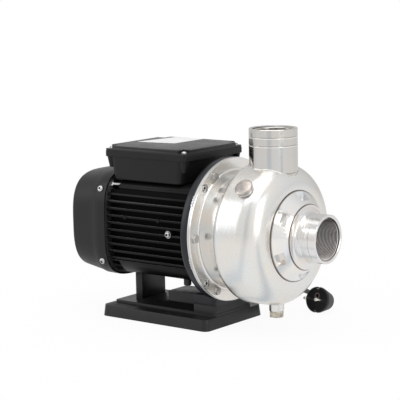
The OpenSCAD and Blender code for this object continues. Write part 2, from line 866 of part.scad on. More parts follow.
module impeller() {
    disc_t = impeller_disc_t;
    crown_h = 5;
    color("lightgray") difference() {
        union() {
            drum(flange_x + impeller_back, disc_t, impeller_d / 2);
            drum(flange_x + impeller_back, impeller_hub_l, hub_outer_r);
            translate([flange_x + impeller_back + disc_t, 0, shaft_z]) rotate([90, 0, 90])
                for (i = [0 : impeller_blades - 1])
                    rotate(i * 360 / impeller_blades) linear_extrude(blade_h)
                        polygon(concat(blade_line(-blade_t / 2), reversed(blade_line(blade_t / 2))));
        }
        about_shaft(flange_x + impeller_back) polygon([
            [hub_outer_r, disc_t + blade_h + cut], [hub_outer_r, disc_t + blade_h - crown_h],
            [eye_r, disc_t + blade_h - crown_h / 2], [impeller_d / 2 + cut, disc_t + blade_h],
            [impeller_d / 2 + cut, disc_t + blade_h + cut]
        ]);
        drum(flange_x + impeller_back - cut, impeller_hub_l + 2 * cut, pump_shaft_d / 2);
        key_shape(0);
    }
}

module impeller_key() {
    color("dimgray") key_shape(0);
}

module impeller_nut() {
    nut_af = 22;
    color("silver") difference() {
        translate([flange_x + impeller_back + impeller_hub_l, 0, shaft_z]) rotate([0, 90, 0])
            cylinder(h = nut_h, d = nut_af / cos(30), $fn = 6);
        drum(flange_x + impeller_back, 4 * impeller_hub_l, pump_shaft_d / 2);
    }
}

// Mechanical seal between the seal plate and the impeller

module seal_seat() {
    color("ivory") ring(flange_x + seat_x, seat_t, seat_r, pump_shaft_d / 2 + seat_back);
}

module seal_face() {
    color("dimgray") ring(flange_x + face_x, face_t, seat_r - face_step, pump_shaft_d / 2);
}

module seal_bellows() {
    color("black") ring(flange_x + bellows_x, bellows_l, seat_r - bellows_step, pump_shaft_d / 2);
}

// Sleeve on the shaft between the seal and the impeller
module spacer_sleeve() {
    color("silver")
        ring(flange_x + bellows_x + bellows_l, sleeve_l, pump_shaft_d / 2 + sleeve_wall, pump_shaft_d / 2);
}

// Fan with straight blades inside its cover
fan_r = 62;
fan_disc_r = 52;
fan_blades = 9;

module cooling_fan() {
    blade_w = 2;
    disc_t = 2;
    blade_l = fan_hub_l - disc_t;
    hub_wall = 5;
    blade_root = shaft_d / 2 + hub_wall / 2;
    color([0.2, 0.2, 0.21]) difference() {
        union() {
            drum(fan_x, fan_hub_l, shaft_d / 2 + hub_wall);
            drum(fan_x + fan_hub_l - disc_t, disc_t, fan_disc_r);
            for (i = [0 : fan_blades - 1])
                translate([fan_x + disc_t / 2, 0, shaft_z]) rotate([i * 360 / fan_blades, 0, 0])
                    translate([0, -blade_w / 2, blade_root]) cube([blade_l, blade_w, fan_r - blade_root]);
        }
        drum(fan_x - cut, 2 * fan_hub_l, shaft_d / 2 - fan_step);
    }
}

// Fan cover: a squircle drum that narrows toward its rounded rear edge
rear_power = 3.2;
seam_step = 0.8;
cover_band = 21;
cover_sides = 48;
cover_round = 5;
round_share = 0.3;

// Stations of the cover as [distance from its rear face, half width], rear first
function cover_stations(wall) = [
    [wall, cover_rear_half - cover_round - wall],
    [wall + (cover_round - wall) * round_share, cover_rear_half - cover_round * round_share - wall],
    [cover_round, cover_rear_half - wall],
    [cover_l - cover_band, cover_front_half - wall],
    [cover_l - cover_band + seam_step, cover_half - wall],
    [cover_l, cover_half - wall]
];
cover_front_half = cover_half - seam_step;

// A loft through squircles, closed at both ends
module squircle_loft(stations) {
    rows = len(stations);
    span = stations[rows - 1][0] - stations[0][0];
    points = [
        for (s = stations)
            let (share = (s[0] - stations[0][0]) / span,
                power = rear_power + (cover_power - rear_power) * share)
            for (p = squircle(s[1], power, cover_sides)) [s[0], p[0], p[1]]
    ];
    sides = [
        for (j = [0 : rows - 2], i = [0 : cover_sides - 1])
            let (a = j * cover_sides + i, b = j * cover_sides + (i + 1) % cover_sides)
            each [[a, b + cover_sides, b], [a, a + cover_sides, b + cover_sides]]
    ];
    rear_face = [[for (i = [0 : cover_sides - 1]) i]];
    front_face = [[for (i = [cover_sides - 1 : -1 : 0]) (rows - 1) * cover_sides + i]];
    polyhedron(points = points, faces = concat(sides, rear_face, front_face));
}

module fan_cover() {
    drill_l = 12;
    color([0.17, 0.17, 0.18]) {
        difference() {
            translate([cover_x, 0, shaft_z]) squircle_loft(cover_stations(0));
            translate([cover_x, 0, shaft_z])
                squircle_loft(concat(cover_stations(cover_t), [[cover_l + cut, cover_half - cover_t]]));
            drum(cover_x - cut, cover_t + 2 * cut, grille_r);
            for (side = [-1, 1], up = [-1, 1])
                cover_screw_place(side, up) translate([0, 0, -drill_l / 2])
                    cylinder(h = drill_l, d = cover_screw_d + hole_gap, $fn = 24);
        }
        grille();
    }
}

// Grille in the rear wall: rings joined by ribs round a closed centre
grille_r = 62;
slot_rings = 6;
slot_w = 4.6;
rib_w = 3.2;
rib_count = 8;

module grille() {
    step = slot_w + rib_w;
    for (k = [0 : slot_rings - 1])
        ring(cover_x, cover_t, grille_r - k * step, grille_r - k * step - rib_w);
    drum(cover_x, cover_t, grille_r - slot_rings * step);
    for (i = [0 : rib_count - 1])
        translate([cover_x, 0, shaft_z]) rotate([i * 360 / rib_count, 0, 0])
            translate([0, -rib_w / 2, 0]) cube([cover_t, rib_w, grille_r - rib_w / 2]);
}

cover_screw_d = 4;
cover_screw_z = 53.5;
cover_screw_lean = 22;

// Place of a cover screw, its seat on the side of the cover
module cover_screw_place(side, up) {
    seat = cover_half * pow(1 - pow(cover_screw_z / cover_half, cover_power), 1 / cover_power);
    translate([frame_x - shield_l / 2, side * seat, shaft_z + up * cover_screw_z])
        rotate([-side * (90 - up * cover_screw_lean), 0, 0]) children();
}

module fan_cover_screws() {
    head_d = 9;
    head_h = 3;
    shank_l = 11;
    color("silver") for (side = [-1, 1], up = [-1, 1])
        cover_screw_place(side, up) round_screw(cover_screw_d, head_d, head_h, shank_l);
}

ground_back = 42;
ground_drop = 2.8;
ground_x = bracket_x - ground_back;
ground_z = shaft_z - ground_drop;
ground_boss_l = 10;
ground_y = fin_depth - frame_half - ground_boss_l;

module ground_screw() {
    washer = 10;
    head_d = 8.4;
    head_h = 3.4;
    shank_l = 7;
    color("silver") translate([ground_x, ground_y, ground_z]) rotate([90, 0, 0]) {
        cylinder(h = washer_t, d = washer, $fn = 32);
        translate([0, 0, washer_t]) round_screw(screw_d, head_d, head_h, washer_t + shank_l);
    }
}

// Terminal box on the flat top of the motor frame
box_back = 13.6;
box_x = bracket_x - box_back - box_l / 2;
box_z = frame_top;
rim_h = 9;
rim_out = 6.5;
taper = 4;
corner_r = 4;
column = 13;
column_inset = 1;
opening_l = box_l - 2 * rim_out - column;
opening_w = box_w - 4 * box_t;
lid_notch_x = 13;
lid_notch_y = 14.5;
lid_inset = 1;
lid_screw_inset = 8;
lid_screw_x = box_l / 2 - lid_screw_inset;
lid_screw_y = box_w / 2 - lid_screw_inset;
gland_back = 40.6;
gland_rise = 19;
gland_x = box_x - gland_back;
gland_z = box_z + gland_rise;
gland_r = 10;
gland_wall = 2;
gland_flange = 4;
gland_af = 24;
gland_nut_af = 22;
gland_pad_r = 15;
gland_seat = box_w / 2 - lid_inset;

module box_shell(inset, bottom) {
    hull() {
        translate([0, 0, bottom]) linear_extrude(corner_r)
            round_rect(box_l - 2 * (rim_out + taper + inset), box_w - 2 * (taper + inset), corner_r);
        translate([0, 0, box_h - rim_h]) linear_extrude(rim_h)
            round_rect(box_l - 2 * (rim_out + inset), box_w - 2 * (inset + lid_inset), corner_r);
    }
}

module terminal_box() {
    column_drop = 15;
    column_share = 0.6;
    column_x = box_l / 2 - column / 2 - column_inset;
    column_y = box_w / 2 - column / 2 - column_inset;
    color([0.22, 0.22, 0.22]) translate([box_x, 0, box_z]) difference() {
        union() {
            box_shell(0, 0);
            translate([0, 0, box_h - rim_h]) linear_extrude(rim_h) round_rect(box_l, box_w, corner_r);
            for (sx = [-1, 1], sy = [-1, 1])
                translate([sx * column_x, sy * column_y, box_h - rim_h - column_drop])
                    cylinder(h = column_drop, d1 = column * column_share, d2 = column);
            translate([gland_x - box_x, gland_seat - taper, gland_z - box_z]) rotate([-90, 0, 0])
                cylinder(h = taper, r = gland_pad_r);
        }
        translate([0, 0, box_t]) intersection() {
            box_shell(box_t, 0);
            translate([0, 0, box_h / 2]) cube([opening_l, 2 * box_w, 2 * box_h], center = true);
        }
        translate([0, 0, box_h - box_t]) linear_extrude(2 * box_t)
            round_rect(opening_l, opening_w, corner_r);
        for (sx = [-1, 1], sy = [-1, 1])
            translate([sx * lid_screw_x, sy * lid_screw_y, box_h - column_drop])
                cylinder(h = 2 * column_drop, d = cover_screw_d);
        translate([gland_x - box_x, 0, gland_z - box_z]) rotate([-90, 0, 0])
            cylinder(h = box_w, r = gland_r - gland_wall);
    }
}

gasket_t = 0.8;
ledge_t = 1.8;

module box_gasket() {
    color("black") translate([box_x, 0, box_z + box_h]) linear_extrude(gasket_t) difference() {
        round_rect(box_l - 2 * lid_inset, box_w - 2 * lid_inset, corner_r);
        round_rect(opening_l, opening_w, corner_r);
        lid_screw_holes();
    }
}

module lid_screw_holes() {
    for (sx = [-1, 1], sy = [-1, 1])
        translate([sx * lid_screw_x, sy * lid_screw_y]) circle(d = cover_screw_d + hole_gap, $fn = 32);
}

// Raised outline of the lid, its four corners cut away for the screws
module lid_outline(inset) {
    square([box_l - 2 * lid_notch_x - 2 * inset, box_w - 2 * inset], center = true);
    square([box_l - 2 * inset, box_w - 2 * lid_notch_y - 2 * inset], center = true);
}

module box_lid() {
    seam = 0.7;
    band = (lid_h - gasket_t - ledge_t - 2 * seam) / 2;
    color([0.24, 0.24, 0.24]) translate([box_x, 0, box_z + box_h + gasket_t]) difference() {
        union() {
            linear_extrude(ledge_t) round_rect(box_l - lid_inset, box_w - lid_inset, corner_r);
            translate([0, 0, ledge_t]) linear_extrude(band) lid_outline(lid_inset);
            translate([0, 0, ledge_t + band]) linear_extrude(seam) lid_outline(lid_inset + seam);
            translate([0, 0, ledge_t + band + seam]) linear_extrude(band) lid_outline(lid_inset);
            translate([0, 0, ledge_t + 2 * band + seam]) linear_extrude(seam) lid_outline(lid_inset + seam);
        }
        translate([0, 0, -cut]) linear_extrude(lid_h - gasket_t - box_t + cut)
            square([opening_l - 2 * corner_r, opening_w - 2 * lid_notch_y], center = true);
        translate([0, 0, -cut]) linear_extrude(ledge_t + 2 * cut) lid_screw_holes();
    }
}

module lid_screws() {
    head_d = 8;
    head_h = 2.8;
    shank_l = 10;
    color("silver") for (sx = [-1, 1], sy = [-1, 1])
        translate([box_x + sx * lid_screw_x, sy * lid_screw_y, box_z + box_h + gasket_t + ledge_t])
            round_screw(cover_screw_d, head_d, head_h, shank_l);
}

module terminal_block() {
    block_l = 46;
    block_w = 22;
    block_t = 14;
    well_d = 6;
    well_step = 9;
    place = 22;
    color("wheat") translate([box_x + place, -place, box_z + box_t]) difference() {
        translate([-block_l / 2, -block_w / 2, 0]) cube([block_l, block_w, block_t]);
        for (i = [-2 : 2])
            translate([i * well_step, 0, block_t / 2]) cylinder(h = block_t, d = well_d);
    }
}

module run_capacitor() {
    can_d = 32;
    can_l = 72;
    place = 18;
    color("white") translate([box_x - can_l / 2, place, box_z + box_t + can_d / 2])
        rotate([0, 90, 0]) cylinder(h = can_l, d = can_d);
}

// Cord gland on the far wall of the terminal box
gland_l = 20;
gland_mouth = gland_seat + gland_l;
bush_wall = 2;

module cable_gland() {
    color([0.12, 0.12, 0.12]) translate([gland_x, 0, gland_z]) rotate([-90, 0, 0]) difference() {
        union() {
            translate([0, 0, gland_seat - box_t - gland_flange])
                cylinder(h = gland_flange + box_t + gland_l / 2, r = gland_r - gland_wall);
            translate([0, 0, gland_seat]) cylinder(h = gland_flange, d = gland_af / cos(30), $fn = 6);
        }
        cylinder(h = box_w, d = cord_d + hole_gap);
    }
}

module gland_nut() {
    neck_share = 0.72;
    cone_l = gland_l / 2 - gland_flange;
    color([0.12, 0.12, 0.12]) translate([gland_x, gland_seat + gland_flange, gland_z]) rotate([-90, 0, 0])
        difference() {
            union() {
                cylinder(h = gland_l / 2, d = gland_nut_af / cos(30), $fn = 6);
                translate([0, 0, gland_l / 2]) cylinder(h = cone_l, r1 = gland_r, r2 = gland_r * neck_share);
            }
            translate([0, 0, -cut]) cylinder(h = cone_l + cut, r = gland_r - gland_wall);
            cylinder(h = gland_l, d = cord_d + bush_wall);
        }
}

// Rubber bush in the gland nut that grips the cord, which ends on its face
module gland_seal() {
    color("black") translate([gland_x, gland_mouth - gland_l / 2, gland_z]) rotate([-90, 0, 0])
        cylinder(h = gland_l / 2, d = cord_d + bush_wall);
}

// Base: a plate, a lower step, a sloped pad and the block under the bracket foot
base_front = 1.5;
base_x = flange_x - base_front - base_l / 2;
step_h = 20;
step_front = 4;
step_l = base_l - 2 * step_front;
pad_top = 25.5;
pad_back = 153;
pad_l = 107;
pad_w = 80;
pad_x0 = flange_x - pad_back;
pad_slope = 8;
spine_w = 44;
spine_top = 40;
spine_back = 107;
spine_x0 = flange_x - spine_back;

module base_foot() {
    draft = 1.5;
    corner = 9;
    edge = 3;
    color([0.2, 0.2, 0.21]) difference() {
        union() {
            hull() {
                translate([base_x, 0, 0]) linear_extrude(cut) round_rect(base_l, base_w, corner);
                translate([base_x, 0, base_h - cut]) linear_extrude(cut)
                    round_rect(base_l - 2 * draft, base_w - 2 * draft, corner);
            }
            translate([flange_x - step_front - step_l / 2, 0, base_h - cut])
                linear_extrude(step_h - base_h + cut)
                round_rect(step_l, step_w, edge);
            hull() {
                translate([pad_x0, -pad_w / 2, step_h - cut]) cube([pad_l, pad_w, cut]);
                translate([pad_x0 + pad_slope, pad_slope - pad_w / 2, pad_top - cut])
                    cube([pad_l - pad_slope, pad_w - 2 * pad_slope, cut]);
            }
            translate([foot_x + foot_l / 2, 0, step_h - cut]) linear_extrude(block_h - step_h + cut)
                round_rect(foot_l, step_w, edge);
            translate([spine_x0, -spine_w / 2, pad_top - cut])
                cube([foot_x - spine_x0, spine_w, spine_top - pad_top + cut]);
        }
        base_pockets();
        for (side = [-1, 1])
            translate([foot_x + foot_l / 2, side * foot_bore_y, -cut]) {
                cylinder(h = block_h + 2 * cut, d = foot_bolt_d + hole_gap);
                cylinder(h = block_h / 2 + cut, d = foot_bolt_d * 2);
            }
    }
}

// Hollows under the base, between its outer wall and its ribs
module base_pockets() {
    wall = 5;
    rib = 4;
    depth = base_h - wall;
    cells = 5;
    cell_l = (base_l - foot_l - 2 * wall - cells * rib) / cells;
    for (i = [0 : cells - 1], side = [-1, 1])
        translate([base_x - base_l / 2 + wall + i * (cell_l + rib),
            side > 0 ? rib / 2 : -base_w / 2 + wall, -cut])
            cube([cell_l, base_w / 2 - wall - rib / 2, depth + cut]);
}

// Post that holds up the rear of the motor
post_back = 165.5;
post_x = flange_x - post_back;
post_t = 12.5;
post_w = 54;

module motor_post() {
    color([0.22, 0.22, 0.23])
        translate([post_x, -post_w / 2, step_h]) cube([post_t, post_w, frame_bottom - step_h]);
}

module foot_bolts() {
    head_af = 13;
    head_h = 5.6;
    color("gray") for (side = [-1, 1])
        translate([foot_x + foot_l / 2, side * foot_bore_y, block_h / 2]) {
            cylinder(h = foot_bolt_top - block_h / 2, d = foot_bolt_d);
            translate([0, 0, -head_h]) cylinder(h = head_h, d = head_af / cos(30), $fn = 6);
        }
}

// Earthed mains plug that lies on its side, its pins toward -Y and a little up
plug_r = 19.2;
plug_l = 31;
plug_band = 5;
plug_tilt = 15;
plug_heel = 15;
plug_neck_l = 45;
plug_mouth = [gland_x + 172, gland_mouth + 74, 16];
plug_face = plug_mouth + [36, -27, 0] + plug_heel * [0, -cos(plug_tilt), sin(plug_tilt)];
pin_d = 4.8;
pin_l = 19;
pin_gap = 19;
pin_root = 10;
clip_w = 4;
clip_t = 1;
clip_depth = 3.4;
clip_reach = 17;

// Mains cord: from the gland down behind the motor, a neat coil on the floor, and the plug
cord_r = cord_d / 2;
cord_sides = 8;
coil_sides = 6;
coil_centre = [gland_x + 50, gland_mouth + 156];
coil_r = 48;
coil_turns = 4;
coil_step = 8.2;
coil_rise = 8;
coil_rings = 24;
coil_end = 8;

// Points of the lead: over from the gland, straight down, and along the floor to the coil
drop_steps = 9;
drop_out = 37;
drop_top = gland_z - 30;
drop_foot = 38;
lead_bend = [[0, 7, 0], [0, 22, -4], [0, 33, -15]];
lead_floor = [[0, 42, 21], [0, 54, 8], [0, 71, cord_r], [0, 80, cord_r], [4, 94, cord_r],
    [15, 104, cord_r], [30, 108, cord_r]];
tail_floor = [[73, 108, 12], [91, 108, 12], [107, 108, 13], [125, 104, 14], [143, 95, 15],
    [155, 87, 16], [164, 80, 16]];
gland_end = [gland_x, gland_mouth, gland_z];
gland_foot = [gland_x, gland_mouth, 0];
lead_route = concat(
    [for (p = lead_bend) gland_end + p],
    [for (i = [0 : drop_steps])
        gland_foot + [0, drop_out, drop_top + (drop_foot - drop_top) * i / drop_steps]],
    [for (p = lead_floor) gland_foot + p]
);
tail_route = [for (p = tail_floor) gland_foot + p];

function coil_point(turn) =
    let (r = coil_r - coil_step * (coil_turns / 2 - abs(turn - coil_turns / 2)),
         climb = min(max((turn - coil_turns / 2 + 0.25) * 2, 0), 1),
         a = 360 * turn - 90)
    [coil_centre[0] + r * cos(a), coil_centre[1] + r * sin(a), cord_r + coil_rise * climb];

coil_start = [coil_centre[0] - coil_end, coil_centre[1] - coil_r, cord_r];
coil_stop = [coil_centre[0] + coil_end, coil_centre[1] - coil_r, cord_r + coil_rise];
coil_route = concat(
    [coil_start],
    [for (i = [0 : coil_turns * coil_rings]) coil_point(i / coil_rings)],
    [coil_stop]
);
lead_path = concat([gland_end], lead_route, [coil_start]);
tail_path = concat([coil_stop], tail_route, [plug_mouth]);

function unit(v) = v / norm(v);
function tangent(path, i) = unit(path[min(i + 1, len(path) - 1)] - path[max(i - 1, 0)]);
function carried(path, i, side) =
    i == len(path) ? [] :
    let (t = tangent(path, i), s = unit(side - (side * t) * t))
    concat([s], carried(path, i + 1, s));

// A round tube swept along a path
module tube(path, d, sides, side) {
    count = len(path);
    frames = carried(path, 0, side);
    points = [
        for (i = [0 : count - 1], k = [0 : sides - 1])
            let (a = 360 * k / sides, s = frames[i], u = cross(tangent(path, i), s))
            path[i] + d / 2 * (cos(a) * s + sin(a) * u)
    ];
    walls = [
        for (i = [0 : count - 2], k = [0 : sides - 1])
            let (a = i * sides + k, b = i * sides + (k + 1) % sides)
            each [[a, b + sides, b], [a, a + sides, b + sides]]
    ];
    ends = [
        [for (k = [0 : sides - 1]) k],
        [for (k = [sides - 1 : -1 : 0]) (count - 1) * sides + k]
    ];
    polyhedron(points = points, faces = concat(walls, ends));
}

// Least distance between the surfaces of loops that lie more than half a turn apart
function coil_gap() =
    let (n = len(coil_route))
    min([for (i = [0 : n - 1], j = [i + coil_rings / 2 : n - 1])
        if (j < n) norm(coil_route[i] - coil_route[j])]) - cord_d;

function path_length(path) =
    let (steps = [for (i = [1 : len(path) - 1]) norm(path[i] - path[i - 1])])
    steps * [for (s = steps) 1];

module cord_lead() {
    color([0.1, 0.1, 0.1]) tube(lead_path, cord_d, cord_sides, [1, 0, 0]);
}

module cord_coil() {
    echo(least_gap = coil_gap());
    echo(cord_length = path_length(lead_path) + path_length(coil_route) + path_length(tail_path));
    color([0.1, 0.1, 0.1]) tube(coil_route, cord_d, coil_sides, [0, 0, 1]);
}

module cord_tail() {
    color([0.1, 0.1, 0.1]) tube(tail_path, cord_d, cord_sides, [0, 0, 1]);
}

module plug_place() {
    translate(plug_face) rotate([90 - plug_tilt, 0, 0]) children();
}

module plug_outline() {
    edge = 1;
    tail_r = plug_r - (plug_l - plug_band) * tan(plug_tilt);
    heel_round = 4;
    polygon([
        [0, 0], [plug_r - edge, 0], [plug_r, -edge], [plug_r, -plug_band],
        [tail_r + heel_round * tan(plug_tilt), heel_round - plug_l],
        [tail_r - heel_round / 4, heel_round / 4 - plug_l], [tail_r - heel_round, -plug_l], [0, -plug_l]
    ]);
}

module plug_body() {
    groove_w = clip_w + 2 * hole_gap;
    earth_y = 6;
    earth_d = 5.4;
    color([0.13, 0.13, 0.13]) difference() {
        union() {
            plug_place() rotate_extrude() plug_outline();
            plug_neck();
        }
        plug_place() {
            for (side = [-1, 1])
                translate([-groove_w / 2, side > 0 ? plug_r - clip_depth : -plug_r - cut, -clip_reach])
                    cube([groove_w, clip_depth + cut, clip_reach + cut]);
            translate([0, earth_y, -pin_root]) cylinder(h = pin_root + cut, d = earth_d, $fn = 32);
            for (side = [-1, 1])
                translate([side * pin_gap / 2, 0, -pin_root])
                    cylinder(h = pin_root + cut, d = pin_d, $fn = 32);
        }
    }
}

// Strain relief that leaves the side of the plug
module plug_neck() {
    direction = unit([-4, 3, 0]);
    heading = atan2(direction[1], direction[0]);
    taper_l = 22;
    root_r = 7.6;
    sleeve_t = 1;
    translate(plug_mouth - plug_neck_l * direction) rotate([0, 0, heading]) rotate([0, 90, 0])
        rotate_extrude($fn = 40) polygon([
            [0, 0], [root_r, 0], [root_r, plug_neck_l - taper_l], [cord_r + sleeve_t, plug_neck_l],
            [0, plug_neck_l]
        ]);
}

module plug_pins() {
    tip = 1.6;
    color("silver") plug_place() for (side = [-1, 1])
        translate([side * pin_gap / 2, 0, 0]) rotate_extrude($fn = 32) polygon([
            [0, -pin_root], [pin_d / 2, -pin_root], [pin_d / 2, pin_l - tip],
            [pin_d / 2 - tip / 2, pin_l], [0, pin_l]
        ]);
}

module plug_clips() {
    color("silver") plug_place() for (side = [-1, 1])
        translate([-clip_w / 2, side > 0 ? plug_r - clip_depth : clip_depth - plug_r - clip_t, -clip_reach])
            cube([clip_w, clip_t, clip_reach]);
}

pump_casing();
casing_neck();
front_plate();
suction_nozzle();
discharge_nozzle();
priming_boss();
priming_plug();
drain_boss();
drain_plug();
wear_plate();
casing_bolts();
flange_screws();
casing_o_ring();
seal_plate();
motor_bracket();
bracket_drip_plug();
motor_frame();
stator_core();
stator_windings();
rear_end_shield();
tie_bolts();
bearing_outer_rings();
bearing_balls();
bearing_inner_rings();
rotor_shaft();
rotor_core();
impeller();
impeller_key();
impeller_nut();
seal_seat();
seal_face();
seal_bellows();
spacer_sleeve();
cooling_fan();
fan_cover();
fan_cover_screws();
ground_screw();
terminal_box();
box_gasket();
box_lid();
lid_screws();
terminal_block();
run_capacitor();
cable_gland();
gland_nut();
gland_seal();
base_foot();
motor_post();
foot_bolts();
cord_lead();
cord_coil();
cord_tail();
plug_body();
plug_pins();
plug_clips();
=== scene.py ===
# %% [markdown]
# # A close-coupled centrifugal pump
# The real pump is a drawn stainless drum with two threaded ports, bolted to a finned
# electric motor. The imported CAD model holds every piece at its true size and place.
# This lesson dresses it: some CAD pieces keep their shape and get a finish, and others
# are replaced by pieces with the threads, rounded edges and welds that the solids leave out.

# %% Load the frame
import json
import math

import bmesh
import bpy
from mathutils import Matrix, Vector


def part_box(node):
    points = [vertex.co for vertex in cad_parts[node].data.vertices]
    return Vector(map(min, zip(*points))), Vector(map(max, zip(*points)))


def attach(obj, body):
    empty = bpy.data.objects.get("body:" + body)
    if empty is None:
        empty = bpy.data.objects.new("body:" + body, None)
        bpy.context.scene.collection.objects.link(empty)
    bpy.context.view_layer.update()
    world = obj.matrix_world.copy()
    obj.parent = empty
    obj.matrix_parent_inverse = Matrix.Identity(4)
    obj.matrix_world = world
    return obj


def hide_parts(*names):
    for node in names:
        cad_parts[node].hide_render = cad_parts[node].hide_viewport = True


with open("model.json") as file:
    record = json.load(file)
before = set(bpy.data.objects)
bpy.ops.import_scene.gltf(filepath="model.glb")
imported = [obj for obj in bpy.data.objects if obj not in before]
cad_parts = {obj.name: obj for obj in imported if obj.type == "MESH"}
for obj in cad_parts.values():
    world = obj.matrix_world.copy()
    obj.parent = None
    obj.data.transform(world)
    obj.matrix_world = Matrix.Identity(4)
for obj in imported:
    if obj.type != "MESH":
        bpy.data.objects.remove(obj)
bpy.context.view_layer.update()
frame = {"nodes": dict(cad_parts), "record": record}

MM = 0.001
HOUSING = "housing"

# %% [markdown]
# ## Where things are
# A handful of measures come back all through the lesson: the height of the shaft, the
# face of the casing flange and the axis of the discharge port. They are read from the
# CAD nodes where a box gives them, so the pieces stay fitted to the frame. An axis is
# written as its direction and one point on it.

# %% Measures of the frame
shaft_z = 137.8 * MM
flange_x = 44.2 * MM
PORT_GAUGE = 69.1
discharge_x = flange_x + PORT_GAUGE * MM
suction_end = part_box("suction_nozzle")[1].x
discharge_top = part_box("discharge_nozzle")[1].z
SHAFT_LINE = ("x", (0.0, 0.0, shaft_z))
PORT_LINE = ("z", (discharge_x, 0.0, 0.0))
UPRIGHT = ("z", (0.0, 0.0, 0.0))
print("suction rim at", round(suction_end / MM, 1), "discharge rim at", round(discharge_top / MM, 1))

# %% [markdown]
# ## Camera
# The picture was taken from some two metres away with a long lens, a little above the
# pump and turned about 38 degrees toward its suction side. The position, the three axes
# and the focal length come from fitting the outlines of the ports, flange and base.

# %% Camera
camera_right = Vector((0.7868, 0.6169, -0.0194)).normalized()
camera_back = Vector((0.6121, -0.7760, 0.1520)).normalized()
camera_up = camera_back.cross(camera_right)
camera_place = Vector((1336.2, -1716.5, 510.9)) * MM
camera_data = bpy.data.cameras.new("photo_camera")
camera_data.sensor_width = 36
camera_data.lens = 137.63
camera = bpy.data.objects.new("photo_camera", camera_data)
camera.matrix_world = Matrix.Translation(camera_place) @ Matrix(
    (camera_right, camera_up, camera_back)).transposed().to_4x4()
bpy.context.collection.objects.link(camera)
bpy.context.scene.camera = camera
bpy.context.scene.view_settings.view_transform = "Standard"
print("camera", [round(v, 3) for v in camera_place], "lens", camera_data.lens)

# %% [markdown]
# ## Finishes: small helpers
# Every finish is a Principled shader whose colour, roughness and bump come from a few
# noise patterns. A few helpers are enough: one makes the shader, one adds a node and
# wires or sets its inputs, and the rest are short names for the nodes that come back
# most. They take a material or the world, because both hold a node tree. Each finish is
# kept under its own name.

# %% Helpers for materials
finishes = {}


def finish_shader(name, colour, roughness, metallic=0.0, specular=0.5):
    material = bpy.data.materials.new(name)
    material.use_nodes = True
    shader = material.node_tree.nodes["Principled BSDF"]
    shader.inputs["Base Color"].default_value = (*colour, 1)
    shader.inputs["Roughness"].default_value = roughness
    shader.inputs["Metallic"].default_value = metallic
    shader.inputs["Specular IOR Level"].default_value = specular
    finishes[name] = material
    return material


def feed(owner, socket, value):
    if isinstance(value, bpy.types.NodeSocket):
        owner.node_tree.links.new(value, socket)
    else:
        socket.default_value = value


def add_node(owner, kind, settings=None, **inputs):
    node = owner.node_tree.nodes.new(kind)
    for key, value in (settings or {}).items():
        setattr(node, key, value)
    for key, value in inputs.items():
        feed(owner, node.inputs[int(key[1:]) if key[1:].isdigit() else key], value)
    return node


def plug_in(material, output, input_name):
    feed(material, material.node_tree.nodes["Principled BSDF"].inputs[input_name], output)


def maths(owner, operation, first, *second):
    inputs = {"i%d" % k: value for k, value in enumerate((first, *second))}
    return add_node(owner, "ShaderNodeMath", {"operation": operation}, **inputs).outputs[0]


def object_point(owner, shift=(0, 0, 0)):
    point = add_node(owner, "ShaderNodeTexCoord").outputs["Object"]
    return add_node(owner, "ShaderNodeMapping", Vector=point, Location=shift).outputs[0]


def split_point(owner, point):
    return add_node(owner, "ShaderNodeSeparateXYZ", Vector=point).outputs


def grain(owner, point, scale, detail=3.0, rough=0.5):
    noise = add_node(owner, "ShaderNodeTexNoise", Vector=point, Scale=scale, Detail=detail, Roughness=rough)
    return noise.outputs["Fac"]


def remap(owner, value, low, high, from_low=0.3, from_high=0.7, kind="LINEAR"):
    node = add_node(owner, "ShaderNodeMapRange", {"interpolation_type": kind}, Value=value)
    for key, number in (("From Min", from_low), ("From Max", from_high), ("To Min", low), ("To Max", high)):
        node.inputs[key].default_value = number
    return node.outputs[0]


def blend_colour(owner, share, first, second):
    first, second = (c if isinstance(c, bpy.types.NodeSocket) else (*c, 1) for c in (first, second))
    return add_node(owner, "ShaderNodeMix", {"data_type": "RGBA"}, i0=share, i6=first, i7=second).outputs[2]


def tint_over(material, share, colour):
    made = material.node_tree.nodes["Principled BSDF"].inputs["Base Color"].links[0].from_socket
    plug_in(material, blend_colour(material, share, made, colour), "Base Color")


def raised(owner, height, depth):
    return add_node(owner, "ShaderNodeBump", Height=height, Distance=depth, Strength=1.0).outputs[0]


print("material helpers ready")

# %% [markdown]
# ## Metal that was turned or drawn
# Sheet drawn into a drum and a port turned on a lathe both carry fine marks that run
# round their axis. The pattern therefore works on polar coordinates: the distance along
# the axis and the distance from it count in full, and the angle hardly at all. One
# helper gives those for the shaft line or for the upright discharge port.

# %% Polar coordinates and lathe marks
ANGLE_SHARE = 0.0012


def polar_parts(owner, line):
    axis, centre = line
    split = split_point(owner, object_point(owner, shift=tuple(-c for c in centre)))
    first, second, along = {"x": (1, 2, 0), "z": (0, 1, 2)}[axis]
    squares = [maths(owner, "MULTIPLY", split[k], split[k]) for k in (first, second)]
    radius = maths(owner, "SQRT", maths(owner, "ADD", *squares))
    return split[along], radius, maths(owner, "ARCTAN2", split[second], split[first])


